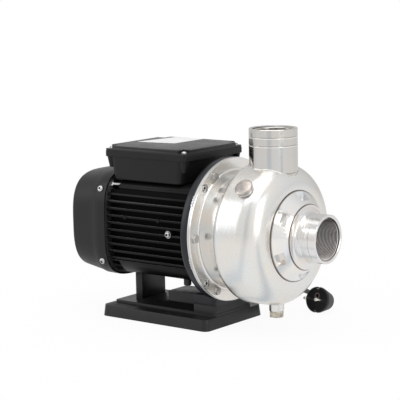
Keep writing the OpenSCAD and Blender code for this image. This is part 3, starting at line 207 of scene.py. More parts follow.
def turned_metal(name, colour, roughness, line, mark_depth, cloud):
    material = finish_shader(name, colour, roughness, metallic=1.0)
    along, radius, angle = polar_parts(material, line)
    marks_point = add_node(material, "ShaderNodeCombineXYZ", X=along, Y=radius,
                           Z=maths(material, "MULTIPLY", angle, ANGLE_SHARE)).outputs[0]
    marks = grain(material, marks_point, 1900, detail=4, rough=0.7)
    clouds = grain(material, object_point(material), 28, detail=3)
    smudges = grain(material, object_point(material, shift=(0.3, 0.1, 0.7)), 160, detail=2)
    warm = tuple(c * k for c, k in zip(colour, (1.0, 0.975, 0.945)))
    cool = tuple(min(1.0, c * k) for c, k in zip(colour, (0.955, 0.98, 1.0)))
    cloudy = remap(material, clouds, 0, 1, 0.35, 0.65)
    plug_in(material, blend_colour(material, cloudy, warm, cool), "Base Color")
    spread = maths(material, "ADD", remap(material, marks, roughness - 0.03, roughness + 0.04),
                   remap(material, smudges, -cloud / 2, cloud))
    plug_in(material, spread, "Roughness")
    plug_in(material, raised(material, marks, mark_depth), "Normal")
    return material


drawn_stainless = turned_metal("drawn_stainless", (0.80, 0.785, 0.76), 0.25, SHAFT_LINE, 2e-6, 0.02)
plate_stainless = turned_metal("plate_stainless", (0.84, 0.83, 0.82), 0.13, SHAFT_LINE, 3e-6, 0.01)
neck_stainless = turned_metal("neck_stainless", (0.82, 0.80, 0.775), 0.22, SHAFT_LINE, 3e-6, 0.02)
turned_stainless = turned_metal("turned_stainless", (0.80, 0.78, 0.765), 0.17, SHAFT_LINE, 6e-6, 0.015)
port_stainless = turned_metal("port_stainless", (0.65, 0.63, 0.605), 0.15, PORT_LINE, 6e-6, 0.015)
turned_metal("shaft_steel", (0.60, 0.61, 0.62), 0.25, SHAFT_LINE, 1e-5, 0.03)
print("turned metals made:", len(finishes))

# %% [markdown]
# ## Painted shade, stain and painted light
# Three places need a tint of their own. The neck gets a painted shade: it is darker where it runs into the
# drum and low down.
# The front plate keeps a thin brown line along both of its welds. In the suction bore
# painted light makes only the crests of the thread bright, most of all low down on the far
# side, a painted shade makes the valleys nearly black, and a painted highlight brightens the lip.

# %% Tints by place
PLATE_RIM = 63.4
PLATE_HUB = 45.7
MOUTH_GAUGE = 157.1


def neck_painted_shade(material, shade):
    split = split_point(material, object_point(material, shift=(-flange_x, 0, -shaft_z)))
    # painted shade: the neck colour darkens toward the drum step and toward the bottom
    near_drum = remap(material, split[0], 0, 1, 12 * MM, 31 * MM)
    low_down = remap(material, split[2], 1.0, 0.25, -80 * MM, 30 * MM)
    tint_over(material, maths(material, "MULTIPLY", near_drum, low_down), shade)


def weld_stain(material, rings, colour):
    radius = polar_parts(material, SHAFT_LINE)[1]
    for clear, stained in rings:
        tint_over(material, remap(material, radius, 0.0, 0.85, clear * MM, stained * MM), colour)


def thread_painted_light(name, valley, crest):
    material = finish_shader(name, crest, 0.42, metallic=1.0)
    along, radius, _ = polar_parts(material, SHAFT_LINE)
    split = split_point(material, object_point(material, shift=(0, 0, -shaft_z)))
    # painted light and shade: crests lit on the far, low side, valleys nearly black
    on_crest = remap(material, radius, 1.0, 0.0, 28.5 * MM, 29.5 * MM)
    far_and_low = maths(material, "SUBTRACT", split[1], split[2])
    lit = remap(material, far_and_low, 0.1, 1.0, -4 * MM, 22 * MM)
    # painted highlight on the lip beyond the mouth
    mouth_x = flange_x + MOUTH_GAUGE * MM
    mouth = remap(material, along, 0.0, 0.7, mouth_x - 0.5 * MM, mouth_x + 0.5 * MM)
    share = maths(material, "MAXIMUM", maths(material, "MULTIPLY", on_crest, lit), mouth)
    plug_in(material, blend_colour(material, share, valley, crest), "Base Color")
    return material


# painted shade on the neck
neck_painted_shade(neck_stainless, (0.25, 0.235, 0.22))
weld_stain(plate_stainless, [(PLATE_RIM - 1.5, PLATE_RIM - 0.5), (PLATE_HUB + 0.9, PLATE_HUB + 0.3)],
           (0.22, 0.165, 0.14))
# painted light and painted shade for the thread crests, valleys and lip in the bores
bore_painted_light = thread_painted_light("bore_painted_light", (0.03, 0.024, 0.022), (0.97, 0.92, 0.90))
print("tinted:", neck_stainless.name, plate_stainless.name, bore_painted_light.name)

# %% [markdown]
# ## Plain metals, paint, plastic and rubber
# Small fittings are zinc plated or polished, the castings carry matte black paint with an
# orange-peel skin, and the covers are moulded with a fine even grain. Each gets a mottled
# roughness and a fine bump at the size of the real texture. The plug has one more mark:
# a paler ring round its earth hole.

# %% Other finishes
EARTH_HOLE = (103 * MM, 121.06 * MM, 25.67 * MM)


def speckled(name, colour, roughness, grains, depth, metallic=0.0, tint=0.12, spread=0.06, specular=0.5,
             blotch=35):
    material = finish_shader(name, colour, roughness, metallic, specular)
    fine = grain(material, object_point(material), grains, detail=2, rough=0.6)
    broad = grain(material, object_point(material, shift=(0.2, 0.5, 0.1)), blotch, detail=4)
    lighter = tuple(min(1.0, c * (1 + tint)) for c in colour)
    darker = tuple(c * (1 - tint) for c in colour)
    plug_in(material, blend_colour(material, remap(material, broad, 0, 1), darker, lighter), "Base Color")
    plug_in(material, remap(material, broad, roughness - spread, roughness + spread), "Roughness")
    plug_in(material, raised(material, fine, depth), "Normal")
    return material


def ring_mark(material, centre, radius, colour):
    gap = add_node(material, "ShaderNodeVectorMath", {"operation": "DISTANCE"},
                   i0=object_point(material), i1=centre).outputs["Value"]
    tint_over(material, remap(material, gap, 1, 0, radius - 0.2 * MM, radius + 0.2 * MM), colour)


polished_steel = speckled("polished_steel", (0.50, 0.455, 0.42), 0.30, 330, 4e-5, 1.0, 0.22, blotch=150)
nickel_brass = speckled("nickel_brass", (0.50, 0.455, 0.38), 0.30, 900, 2e-5, 1.0, 0.32, blotch=190)
bright_zinc = speckled("bright_zinc", (0.56, 0.55, 0.54), 0.20, 900, 1e-5, 1.0, 0.06)
speckled("dark_screw", (0.30, 0.30, 0.31), 0.33, 900, 1e-5, 1.0, 0.1)
speckled("zinc_sheet", (0.66, 0.67, 0.69), 0.32, 700, 1e-5, 1.0, 0.06)
speckled("bearing_steel", (0.70, 0.71, 0.73), 0.12, 500, 4e-6, 1.0, 0.03, 0.03)
speckled("cast_black", (0.010, 0.011, 0.014), 0.34, 900, 8e-5, tint=0.15, specular=0.34)
frame_black = speckled("frame_black", (0.005, 0.005, 0.0055), 0.45, 1100, 8e-5, tint=0.2, specular=0.16)
cover_black = speckled("cover_black", (0.0128, 0.0124, 0.0132), 0.38, 1600, 5e-5, tint=0.1, specular=0.25)
box_black = speckled("box_black", (0.010, 0.010, 0.010), 0.38, 1700, 5e-5, tint=0.1, specular=0.22)
lid_black = speckled("lid_black", (0.011, 0.011, 0.011), 0.30, 1700, 4e-5, tint=0.1, specular=0.4)
speckled("base_black", (0.010, 0.010, 0.011), 0.36, 1300, 6e-5, tint=0.15, specular=0.4)
speckled("fan_plastic", (0.03, 0.03, 0.032), 0.5, 1300, 5e-5)
speckled("shield_grey", (0.30, 0.30, 0.31), 0.5, 900, 1e-4, 1.0)
rubber_black = speckled("rubber_black", (0.014, 0.014, 0.014), 0.62, 1500, 4e-5)
cord_black = speckled("cord_black", (0.012, 0.012, 0.013), 0.5, 1800, 4e-5)
plug_black = speckled("plug_black", (0.009, 0.009, 0.010), 0.42, 1500, 5e-5, specular=0.25)
ring_mark(plug_black, EARTH_HOLE, 4.5 * MM, (0.12, 0.095, 0.09))
speckled("core_iron", (0.20, 0.19, 0.19), 0.45, 900, 3e-5, 1.0)
speckled("winding_copper", (0.55, 0.22, 0.09), 0.35, 1200, 2e-4, 1.0)
speckled("seal_ceramic", (0.80, 0.77, 0.68), 0.22, 900, 1e-5)
speckled("seal_carbon", (0.03, 0.03, 0.032), 0.35, 900, 1e-5)
speckled("block_cream", (0.68, 0.60, 0.42), 0.45, 1200, 3e-5)
speckled("capacitor_white", (0.78, 0.78, 0.76), 0.4, 900, 2e-5)
blank_paper = speckled("blank_paper", (0.86, 0.86, 0.87), 0.35, 900, 1e-5, tint=0.02)
# near-white metal for the painted highlights below the port grooves
groove_painted_highlight = speckled("groove_painted_highlight", (0.95, 0.95, 0.94), 0.45, 900, 4e-6, 1.0, 0.02, 0.02)
# near-black finish for the painted shade inside screw recesses
recess_painted_shade = speckled("recess_painted_shade", (0.02, 0.02, 0.02), 0.6, 900, 4e-6, 0.0, 0.1, specular=0.1)
speckled("contact_metal", (0.75, 0.73, 0.69), 0.2, 700, 6e-6, 1.0, 0.04)
print("finishes made:", len(finishes))

# %% [markdown]
# ## Black fins with painted shade and painted highlights
# Between the fins a painted shade makes the paint darker, and it is dull; toward the outer skin the colour
# is a little lighter and it shines a little more. The cross section of the frame is a soft square whose
# points keep one sum of powers, so that sum tells how near a point is to the skin. There the edges that face
# upward carry a painted highlight in grey, up to a height just below the terminal box.

# %% Finish of the finned frame
FRAME_POWER = 3.6
FRAME_HALF = 75 * MM


def fin_painted_light(name, deep, tip, painted_highlight):
    material = finish_shader(name, tip, 0.4, specular=0.15)
    split = split_point(material, object_point(material, shift=(0, 0, -shaft_z)))
    sizes = [maths(material, "ABSOLUTE", socket) for socket in split[1:]]
    terms = [maths(material, "POWER", maths(material, "DIVIDE", size, FRAME_HALF), FRAME_POWER)
             for size in sizes]
    # painted shade: colour darker deep between the fins, lighter toward the skin
    outer = remap(material, maths(material, "ADD", *terms), 0, 1, 0.92, 0.975)
    # painted highlight on upward-facing edges near the skin, kept below the box
    normal = add_node(material, "ShaderNodeTexCoord").outputs["Normal"]
    upward = remap(material, split_point(material, normal)[2], 0, 1, 0.25, 0.6)
    below_box = remap(material, split[2], 1, 0, 42 * MM, 47 * MM)
    painted_highlight_share = maths(material, "MULTIPLY", maths(material, "MULTIPLY", outer, upward), below_box)
    skin = blend_colour(material, outer, deep, tip)
    plug_in(material, blend_colour(material, painted_highlight_share, skin, painted_highlight), "Base Color")
    plug_in(material, remap(material, outer, 0.8, 0.4, 0, 1), "Roughness")
    plug_in(material, raised(material, grain(material, object_point(material), 1100, 2), 6e-5), "Normal")
    return material


# painted shade between the fins and painted highlights on upward fin edges
fin_black_painted_light = fin_painted_light("fin_black_painted_light", (0.0012, 0.0012, 0.0014), (0.003, 0.003, 0.0035), (0.16, 0.16, 0.165))
print("fin finish:", fin_black_painted_light.name)

# %% [markdown]
# ## Which finish goes on which CAD node
# The record gives every node a slot, and the slot's name says what the piece is made of.
# Most finishes carry the name of their slot, so one table dresses all nodes at once. A
# few nodes have an entry of their own, such as the discharge port, whose lathe marks run
# round an upright axis.

# %% Dress the CAD nodes
slot_finish = {**finishes, "stainless_sheet": drawn_stainless, "stainless_turned": turned_stainless,
               "drain_brass": nickel_brass, "zinc_bolt": bright_zinc}
node_finish = {"discharge_nozzle": port_stainless, "motor_frame": fin_black_painted_light, "front_plate": plate_stainless,
               "casing_neck": neck_stainless, "box_lid": lid_black}
node_slot = {part["node"]: part["material_slot"] for part in frame["record"]["subparts"]}
for node_name, node_object in frame["nodes"].items():
    node_object.data.materials.clear()
    node_object.data.materials.append(node_finish.get(node_name, slot_finish[node_slot[node_name]]))
print("dressed", len(frame["nodes"]), "nodes")

# %% [markdown]
# ## Putting a new piece in place
# A new piece is modelled in metres where it belongs, so its object stays at the origin.
# One helper makes the object, gives it its finish, rides it on its body and hides the
# CAD nodes it stands for.

# %% Helper for new pieces
def new_piece(name, bm, finish, stands_for=(), smooth=35, second=None):
    bmesh.ops.recalc_face_normals(bm, faces=bm.faces)
    mesh = bpy.data.meshes.new(name)
    bm.to_mesh(mesh)
    bm.free()
    mesh.materials.append(finish)
    if second:
        mesh.materials.append(second)
    mesh.shade_smooth()
    mesh.set_sharp_from_angle(angle=math.radians(smooth))
    piece = bpy.data.objects.new(name, mesh)
    bpy.context.collection.objects.link(piece)
    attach(piece, HOUSING)
    if stands_for:
        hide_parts(*stands_for)
    print(name, len(mesh.polygons), "faces")
    return piece


# %% [markdown]
# ## Rounded edges
# No real edge is knife sharp, and the thin highlight along it is what the eye reads as
# cast or moulded. A copy of a CAD node is merged, its flat triangles are joined into
# faces, and the edges between faces that meet at a steep angle get a narrow bevel.

# %% Rounded copies of CAD nodes
FLAT_ANGLE = math.radians(1.0)
MERGE_GAP = 0.01 * MM


def rounded(node, name, width, steep=35, segments=2):
    bm = bmesh.new()
    bm.from_mesh(frame["nodes"][node].data)
    bmesh.ops.remove_doubles(bm, verts=bm.verts, dist=MERGE_GAP)
    bmesh.ops.dissolve_limit(bm, angle_limit=FLAT_ANGLE, verts=bm.verts, edges=bm.edges)
    sharp = [e for e in bm.edges if len(e.link_faces) == 2 and e.calc_face_angle(0) > math.radians(steep)]
    bmesh.ops.bevel(bm, geom=sharp, offset=width, offset_type="OFFSET", segments=segments, profile=0.5,
                    affect="EDGES", material=-1, clamp_overlap=True)
    return new_piece(name, bm, frame["nodes"][node].data.materials[0], stands_for=(node,))


# %% [markdown]
# ## Round bars that follow a line
# The mains cord and the weld bead are both a round section along a smooth curve. One
# stays open and gets flat ends, the other closes on itself.

# %% Curve helper
def bar_along(name, points, radius, finish, fineness, closed=False):
    curve = bpy.data.curves.new(name, "CURVE")
    curve.dimensions = "3D"
    curve.bevel_depth = radius
    curve.bevel_resolution = 3
    curve.resolution_u = fineness
    curve.use_fill_caps = not closed
    spline = curve.splines.new("BEZIER")
    spline.bezier_points.add(len(points) - 1)
    for knot, point in zip(spline.bezier_points, points):
        knot.co = point
        knot.handle_left_type = knot.handle_right_type = "AUTO"
    spline.use_cyclic_u = closed
    curve.materials.append(finish)
    piece = bpy.data.objects.new(name, curve)
    bpy.context.collection.objects.link(piece)
    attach(piece, HOUSING)
    return piece


# %% [markdown]
# ## The mains cord
# A rubber mains lead of 7.4 mm leaves the gland on the far side of the terminal box,
# drops behind the motor, is wound into a neat coil on the floor and ends in an earthed
# plug beside the pump. The picture shows only the plug. One open curve follows the same
# points as the CAD solids, so its length is the real one, and it replaces all three.

# %% Route of the cord
cord_diameter = 7.4 * MM
lead_points = [(-105, 87, 224), (-105, 94, 224), (-105, 109, 220), (-105, 120, 209)]
lead_points += [(-105, 124, z) for z in range(194, 67, -18)]
lead_points += [(-105, 124, 52), (-105, 124, 38), (-105, 129, 21), (-105, 141, 8), (-105, 158, 3.7)]
lead_points += [(-105, 167, 3.7), (-101, 181, 3.7), (-90, 191, 3.7), (-75, 195, 3.7), (-63, 195, 3.7)]
tail_points = [(-47, 195, 11.7), (-32, 195, 12), (-14, 195, 12), (2, 195, 13), (20, 191, 14)]
tail_points += [(38, 182, 15), (50, 174, 16), (59, 167, 16), (67, 161, 16)]


def coil_points(centre=(-55, 242.5), outer=48, step=8.2, turns=4, low=3.7, rise=8, rings=24):
    points = []
    for k in range(turns * rings + 1):
        turn = k / rings
        radius = outer - step * (turns / 2 - abs(turn - turns / 2))
        climb = min(max((turn - turns / 2 + 0.25) * 2, 0), 1)
        angle = 2 * math.pi * turn - math.pi / 2
        points.append((centre[0] + radius * math.cos(angle), centre[1] + radius * math.sin(angle),
                       low + rise * climb))
    return points


cord_points = [Vector(p) * MM for p in lead_points + coil_points() + tail_points]
mains_cord = bar_along("mains_cord", cord_points, cord_diameter / 2, cord_black, fineness=4)
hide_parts("cord_lead", "cord_coil", "cord_tail")

# %% [markdown]
# ## Turning a profile on a lathe
# Ports, plugs and washers are turned parts, so each starts as a closed outline in one
# plane that is spun a full turn about its axis. The outline is given as pairs of length
# along the axis and radius, and the first and last ring are merged into one.

# %% Lathe and placing helpers
def turned(bm, outline, line, steps=96, turns=1, pitch=0.0):
    directions = [Vector((1, 0, 0)), Vector((0, 0, 1))]
    along, out = directions if line[0] == "x" else reversed(directions)
    centre = Vector(line[1])
    corners = [bm.verts.new(centre + along * length + out * radius) for length, radius in outline]
    edges = [bm.edges.new((a, b)) for a, b in zip(corners, corners[1:] + corners[:1])]
    bmesh.ops.spin(bm, geom=corners + edges, cent=centre, axis=along, dvec=along * (pitch / steps),
                   angle=2 * math.pi * turns, steps=steps * turns, use_merge=(turns == 1),
                   use_duplicate=False)


def in_mm(pairs, start=0.0):
    return [(start + a * MM, b * MM) for a, b in pairs]


def flange_gauge(value):
    return flange_x + value * MM


def moved(x, y, z):
    return Matrix.Translation(Vector((x, y, z)))


def spun(degrees, axis):
    return Matrix.Rotation(math.radians(degrees), 4, axis)


def add_cone(bm, place, low, high, depth, segments=24):
    made = bmesh.ops.create_cone(bm, cap_ends=True, cap_tris=False, segments=segments, radius1=low * MM,
                                 radius2=high * MM, depth=depth * MM)["verts"]
    bmesh.ops.transform(bm, matrix=place, verts=made)
    return made


def add_block(bm, place, size):
    made = bmesh.ops.create_cube(bm, size=1.0)["verts"]
    bmesh.ops.transform(bm, matrix=place @ Matrix.Diagonal((*(Vector(size) * MM), 1)), verts=made)


print("lathe ready")

# %% [markdown]
# ## Pipe threads
# A 2 inch pipe thread has 11 turns to the inch. One tooth in section is spun on while it
# advances by one pitch each turn, which is how a real thread is cut, and its two open
# ends are filled. The crests stand proud of the bore, so they can be seen from outside.

# %% Pipe threads in both ports
THREAD_PITCH = 2.309 * MM
THREAD_TURNS = 16


def pipe_thread(name, line, mouth, base, crest, finish):
    bm = bmesh.new()
    tooth = in_mm([(0, base + 0.1), (0.25, base - 0.1), (0.95, crest), (1.3, crest), (2.05, base - 0.1),
                   (2.3, base + 0.1)])
    turned(bm, [(mouth - length, radius) for length, radius in tooth], line, steps=72, turns=THREAD_TURNS,
           pitch=-THREAD_PITCH)
    bmesh.ops.holes_fill(bm, edges=[e for e in bm.edges if e.is_boundary], sides=0)
    return new_piece(name, bm, finish, smooth=25)


pipe_thread("suction_thread", SHAFT_LINE, suction_end - 1.0 * MM, 29.7, 28.3, bore_painted_light)
pipe_thread("discharge_thread", PORT_LINE, discharge_top - 1.2 * MM, 29.1, 28.0, port_stainless)

# %% [markdown]
# ## Suction port
# The port is turned from one bar: a broad hub that is welded to the front plate, a
# curved flare with a few fine steps from the lathe, a groove near the rim, and a thin
# chamfered lip. The CAD piece has the main curve, and this one adds the fine steps.

# %% Suction port
BORE_LIMIT = 30.0 * MM
FLARE_X, FLARE_OUT, FLARE_R = 136.5, 43.4, 9.4
FLARE_PARTS = 24
FLARE_STEPS = (7, 11, 15, 19)


def mark_bore(bm, distance):
    for face in bm.faces:
        if distance(face.calc_center_median()) < BORE_LIMIT:
            face.material_index = 1


def suction_port():
    hub = [(116.5, 29.0), (116.5, 36.0), (125.5, 36.0), (125.5, 44.2), (126.1, 44.9), (127.0, 44.9)]
    turns = [math.radians(180 + 90 * k / FLARE_PARTS) for k in range(2, FLARE_PARTS + 1)]
    flare = [(FLARE_X + FLARE_R * math.cos(t), FLARE_OUT + FLARE_R * math.sin(t)) for t in turns]
    steps = []
    for k, (a, b) in enumerate(flare):
        steps.append((a, b))
        if k in FLARE_STEPS:
            steps.append((flare[k + 1][0], b))
    tube = [(138.6, 34.0), (138.9, 33.7), (139.5, 33.7), (139.8, 34.0), (143.0, 34.0), (143.2, 33.75),
            (143.7, 33.75), (143.9, 34.0), (147.0, 34.0), (147.3, 33.3), (148.1, 33.3), (148.4, 34.0)]
    lip = [(158.7, 34.0), (159.15, 33.6), (159.3, 32.9), (159.3, 30.9), (159.1, 30.6), (158.2, 29.8),
           (118.0, 29.8)]
    bm = bmesh.new()
    turned(bm, in_mm(hub + steps + tube + lip, flange_x), SHAFT_LINE, steps=128)
    mark_bore(bm, lambda p: math.hypot(p.y, p.z - shaft_z))
    return new_piece("suction_port", bm, turned_stainless, stands_for=("suction_nozzle",), smooth=20,
                     second=bore_painted_light)


suction_port()

# %% [markdown]
# ## Weld round the discharge port
# The upright port is welded to the drum along the saddle where the two round shapes
# meet. The height of that line comes from the outline of the drum, whose front and rear
# shoulders are rounded, and a thin closed curve lies along it like the welder's bead.

# %% Weld bead
DRUM_R = 100.0
FRONT_START, FRONT_ROUND = 75, 32
REAR_START, REAR_ROUND = 45, 14
WELD_R = 34.3
WELD_KNOTS = 72


def drum_radius(gauge):
    if gauge > FRONT_START:
        return DRUM_R - FRONT_ROUND + math.sqrt(max(FRONT_ROUND ** 2 - (gauge - FRONT_START) ** 2, 0))
    if gauge < REAR_START:
        return DRUM_R - REAR_ROUND + math.sqrt(max(REAR_ROUND ** 2 - (REAR_START - gauge) ** 2, 0))
    return DRUM_R


def saddle_point(angle, radius):
    across, gauge = radius * math.sin(angle), PORT_GAUGE + radius * math.cos(angle)
    height = math.sqrt(drum_radius(gauge) ** 2 - across ** 2)
    return Vector((flange_gauge(gauge), across * MM, shaft_z + height * MM))


knot_angles = [2 * math.pi * k / WELD_KNOTS for k in range(WELD_KNOTS)]
saddle = [saddle_point(angle, WELD_R + 0.22 * math.sin(17 * angle)) for angle in knot_angles]
discharge_weld = bar_along("discharge_weld", saddle, 1.1 * MM, drawn_stainless, fineness=3, closed=True)
print("weld bead through", len(saddle), "points")

# %% [markdown]
# ## Priming plug
# The plug on the shoulder is a polished disc with a low dome and a soft rim. It mirrors
# the room, so its surface has to be smooth: a fine outline is spun about its own axis,
# which leans 45 degrees from the vertical.

# %% Priming plug
PLUG_GAUGE = 72
PLUG_LEAN = 45
PLUG_SEAT_R = 101.8 * MM


def priming_plug():
    outline = [(-10, 0.001), (-10, 8.0), (0.0, 8.0), (0.0, 11.4), (0.4, 12.2), (1.4, 13.0), (3.9, 13.0),
               (4.7, 12.75), (5.2, 12.1), (5.5, 11.0), (5.9, 8.0), (6.3, 4.0), (6.5, 0.001)]
    bm = bmesh.new()
    turned(bm, in_mm(outline), UPRIGHT, steps=64)
    bmesh.ops.remove_doubles(bm, verts=bm.verts, dist=0.02 * MM)
    place = moved(flange_gauge(PLUG_GAUGE), 0, shaft_z) @ spun(PLUG_LEAN, "X") @ moved(0, 0, PLUG_SEAT_R)
    bmesh.ops.transform(bm, matrix=place, verts=bm.verts)
    return new_piece("priming_plug_polished", bm, polished_steel, stands_for=("priming_plug",), smooth=40)


priming_plug()

# %% [markdown]
# ## Hexagon bolts with washers
# A real bolt head has its corners turned off at the top, and its washer has soft edges.
# One head is made from a six sided cone, its top face is inset and its corners are
# lowered, and the six copies are turned to their places round the flange.

# %% Casing bolts
BOLT_CIRCLE_R = 93.8 * MM
HEAD_TOP = 5.3 * MM


def bolt_with_washer(bm, place):
    before = set(bm.verts)
    washer = add_cone(bm, moved(0, 0, 0.6 * MM), 6.5, 6.5, 1.2, segments=40)
    rim = [e for e in bm.edges if set(e.verts) <= set(washer) and len(e.link_faces) == 2
           and e.calc_face_angle(0) > math.radians(60)]
    bmesh.ops.bevel(bm, geom=rim, offset=0.3 * MM, segments=2, profile=0.5, affect="EDGES", material=-1)
    head = add_cone(bm, moved(0, 0, 3.3 * MM), 5.77, 5.77, 4.2, segments=6)
    top = [f for f in bm.faces if set(f.verts) <= set(head) and f.calc_center_median().z > HEAD_TOP]
    bmesh.ops.inset_region(bm, faces=top, thickness=0.9 * MM, depth=0.0)
    ring = {v for f in top for v in f.verts}
    for v in head:
        if v.is_valid and v.co.z > HEAD_TOP and v not in ring:
            v.co.z -= 0.75 * MM
    add_cone(bm, moved(0, 0, -8.5 * MM), 3, 3, 17, segments=32)
    bmesh.ops.transform(bm, matrix=place, verts=[v for v in bm.verts if v not in before])


def casing_bolts():
    bm = bmesh.new()
    for k in range(6):
        bolt_with_washer(bm, moved(flange_x, 0, shaft_z) @ spun(30 + 60 * k, "X")
                         @ moved(0, 0, BOLT_CIRCLE_R) @ spun(90, "Y") @ spun(17 * k, "Z"))
    return new_piece("hexagon_bolts", bm, bright_zinc, stands_for=("casing_bolts",), smooth=30)


casing_bolts()

# %% [markdown]
# ## Rounded castings and mouldings
# The paint on the castings is thick and the mouldings have soft corners. The CAD copies
# keep every size, and only their edges are eased, a little more on the base than on the
# thin lid, so that each edge catches its own thin line of light.

# %% Rounded pieces
rounded("front_plate", "pressed_front_plate", 1.6 * MM, steep=28, segments=4)
rounded("base_foot", "moulded_base", 1.5 * MM, segments=3)
rounded("motor_post", "rear_post", 0.6 * MM)
rounded("motor_bracket", "cast_bracket", 0.5 * MM, steep=40)
rounded("motor_frame", "finned_frame", 1.0 * MM, steep=50)
rounded("box_lid", "moulded_lid", 0.8 * MM, segments=3)
rounded("drain_plug", "drain_plug_eased", 0.4 * MM)

# %% [markdown]
# ## Marks on one fin
# The moulding left two round bumps on the edge of one fin, where pins pushed the frame
# out of its die. Each is a short cone that faces outward.

# %% Bumps on the fin
BUMP_GAUGES = (-142, -80)
BUMP_Y, BUMP_Z = -73.9 * MM, 153.1 * MM


def fin_bumps():
    bm = bmesh.new()
    for gauge in BUMP_GAUGES:
        add_cone(bm, moved(flange_gauge(gauge), BUMP_Y, BUMP_Z) @ spun(90, "X"), 3.4, 2.9, 3.2, segments=28)
    return new_piece("fin_bumps", bm, frame_black)


fin_bumps()

# %% [markdown]
# ## Tie bolts, bright above and painted below
# Four long bolts hold the motor together. In the picture the nut in the upper corner
# shines, and the one in the lower corner is under black paint, so the node is replaced
# by two pieces that differ only in finish.

# %% Tie bolts
def tie_bolt_pair(name, side, finish):
    bm = bmesh.new()
    bm.from_mesh(frame["nodes"]["tie_bolts"].data)
    bmesh.ops.remove_doubles(bm, verts=bm.verts, dist=MERGE_GAP)
    other = [v for v in bm.verts if (v.co.z - shaft_z) * side < 0]
    bmesh.ops.delete(bm, geom=other, context="VERTS")
    return new_piece(name, bm, finish, stands_for=("tie_bolts",))


tie_bolt_pair("tie_bolts_bright", 1, bright_zinc)
tie_bolt_pair("tie_bolts_painted", -1, frame_black)

# %% [markdown]
# ## Blank label on the lid
# A plain white paper label lies a little askew on the lid and carries nothing. It is a
# four sided face given the thickness of paper.

# %% Label
LABEL_CORNERS = [(-124.0, -12.0), (-62.0, -1.0), (-60.0, 65.0), (-112.0, 63.0)]
PAPER_GAP, PAPER_THICK = 0.02 * MM, 0.25 * MM


def lid_label():
    bm = bmesh.new()
    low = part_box("box_lid")[1].z + PAPER_GAP
    face = bm.faces.new([bm.verts.new((x * MM, y * MM, low)) for x, y in LABEL_CORNERS])
    made = bmesh.ops.extrude_face_region(bm, geom=[face])["geom"]
    bmesh.ops.translate(bm, vec=Vector((0, 0, PAPER_THICK)),
                        verts=[g for g in made if isinstance(g, bmesh.types.BMVert)])
    return new_piece("lid_label", bm, blank_paper)


lid_label()

# %% [markdown]
# ## Joining rings into a skin
# Soft boxy shapes are lofts: a ring of vertices is made once, and then extruded from
# station to station while its vertices are set on the next outline.

# %% Loft helper
def next_edges(ring):
    return [next(e for e in a.link_edges if e.other_vert(a) is b) for a, b in zip(ring, ring[1:] + ring[:1])]


def lofted(bm, outlines, capped=True):
    ring = bmesh.ops.create_circle(bm, cap_ends=False, segments=len(outlines[0]), radius=10 * MM)["verts"]
    for vert, place in zip(ring, outlines[0]):
        vert.co = place
    first = ring
    for outline in outlines[1:]:
        made = bmesh.ops.extrude_edge_only(bm, edges=next_edges(ring))["geom"]
        fresh = {v for v in made if isinstance(v, bmesh.types.BMVert)}
        ring = [next(e.other_vert(v) for e in v.link_edges if e.other_vert(v) in fresh) for v in ring]
        for vert, place in zip(ring, outline):
            vert.co = place
    if capped:
        for end in (first, ring):
            bmesh.ops.contextual_create(bm, geom=next_edges(end))
    return next_edges(first) + next_edges(ring)


def round_outline(height, half_l, half_w, radius, centre, steps=8):
    points = []
    for sx, sy, start in ((1, 1, 0), (-1, 1, 90), (-1, -1, 180), (1, -1, 270)):
        for k in range(steps + 1):
            angle = math.radians(start + 90 * k / steps)
            x = centre[0] + sx * (half_l - radius) + radius * math.cos(angle)
            y = centre[1] + sy * (half_w - radius) + radius * math.sin(angle)
            points.append(Vector((x, y, height)) * MM)
    return points


print("loft helper ready")

# %% [markdown]
# ## Terminal box
# The moulded box narrows downward and has generous round corners. A rim runs round its
# top, and under each corner of the rim a short cone carries a lid screw. A round pad on
# the far side takes the cable gland.

# %% Terminal box
BOX_HALF_L = 75
GLAND_PLACE = Vector((-105, 65, 224)) * MM


def terminal_box():
    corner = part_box("terminal_box")[0] / MM
    x, z = corner.x + BOX_HALF_L, corner.z
    bm = bmesh.new()
    body = [(0.0, 62.3, 61.6, 9.5), (0.4, 63.4, 62.8, 10.2), (1.6, 64.5, 63.9, 11), (3.0, 65.0, 64.4, 11),
            (33.6, 68.5, 67.0, 11)]
    rim = [(33.6, 74.2, 67.4, 4.6), (34.3, BOX_HALF_L, 68.0, 5), (41.9, BOX_HALF_L, 68.0, 5),
           (42.5, 74.4, 67.4, 4.6), (42.5, 62.0, 62.0, 4), (33.6, 62.0, 62.0, 4), (2.6, 59.0, 59.0, 5)]
    lofted(bm, [round_outline(z + h, a, b, r, (x, 0)) for h, a, b, r in body + rim])
    for sx in (-1, 1):
        for sy in (-1, 1):
            add_cone(bm, moved(*(Vector((x + sx * 67.2, sy * 60.4, z + 26.0)) * MM)), 3.6, 6.8, 16)
    add_cone(bm, moved(*GLAND_PLACE) @ spun(-90, "X"), 15.4, 15, 4, segments=48)
    return new_piece("moulded_box", bm, box_black, stands_for=("terminal_box",), smooth=32)


terminal_box()

# %% [markdown]
# ## Screws with a recess
# The screws differ in size but not in form: a domed head with a soft rim, a driver
# recess whose faces get a near-black second finish as painted shade, a washer under some, and a shank. One
# outline on the lathe makes each of them, and a matrix puts it in its seat.

# %% Screws
COVER_HALF = 79.6
FRONT_POWER = 3.7
COVER_SCREW_HEIGHT = 53.5
EARTH_SCREW_PLACE = Vector((-17.8, -74.0, 135.0)) * MM
SEAL_PLATE_X = 39.2 * MM
FLANGE_SCREW_R = 95.0 * MM


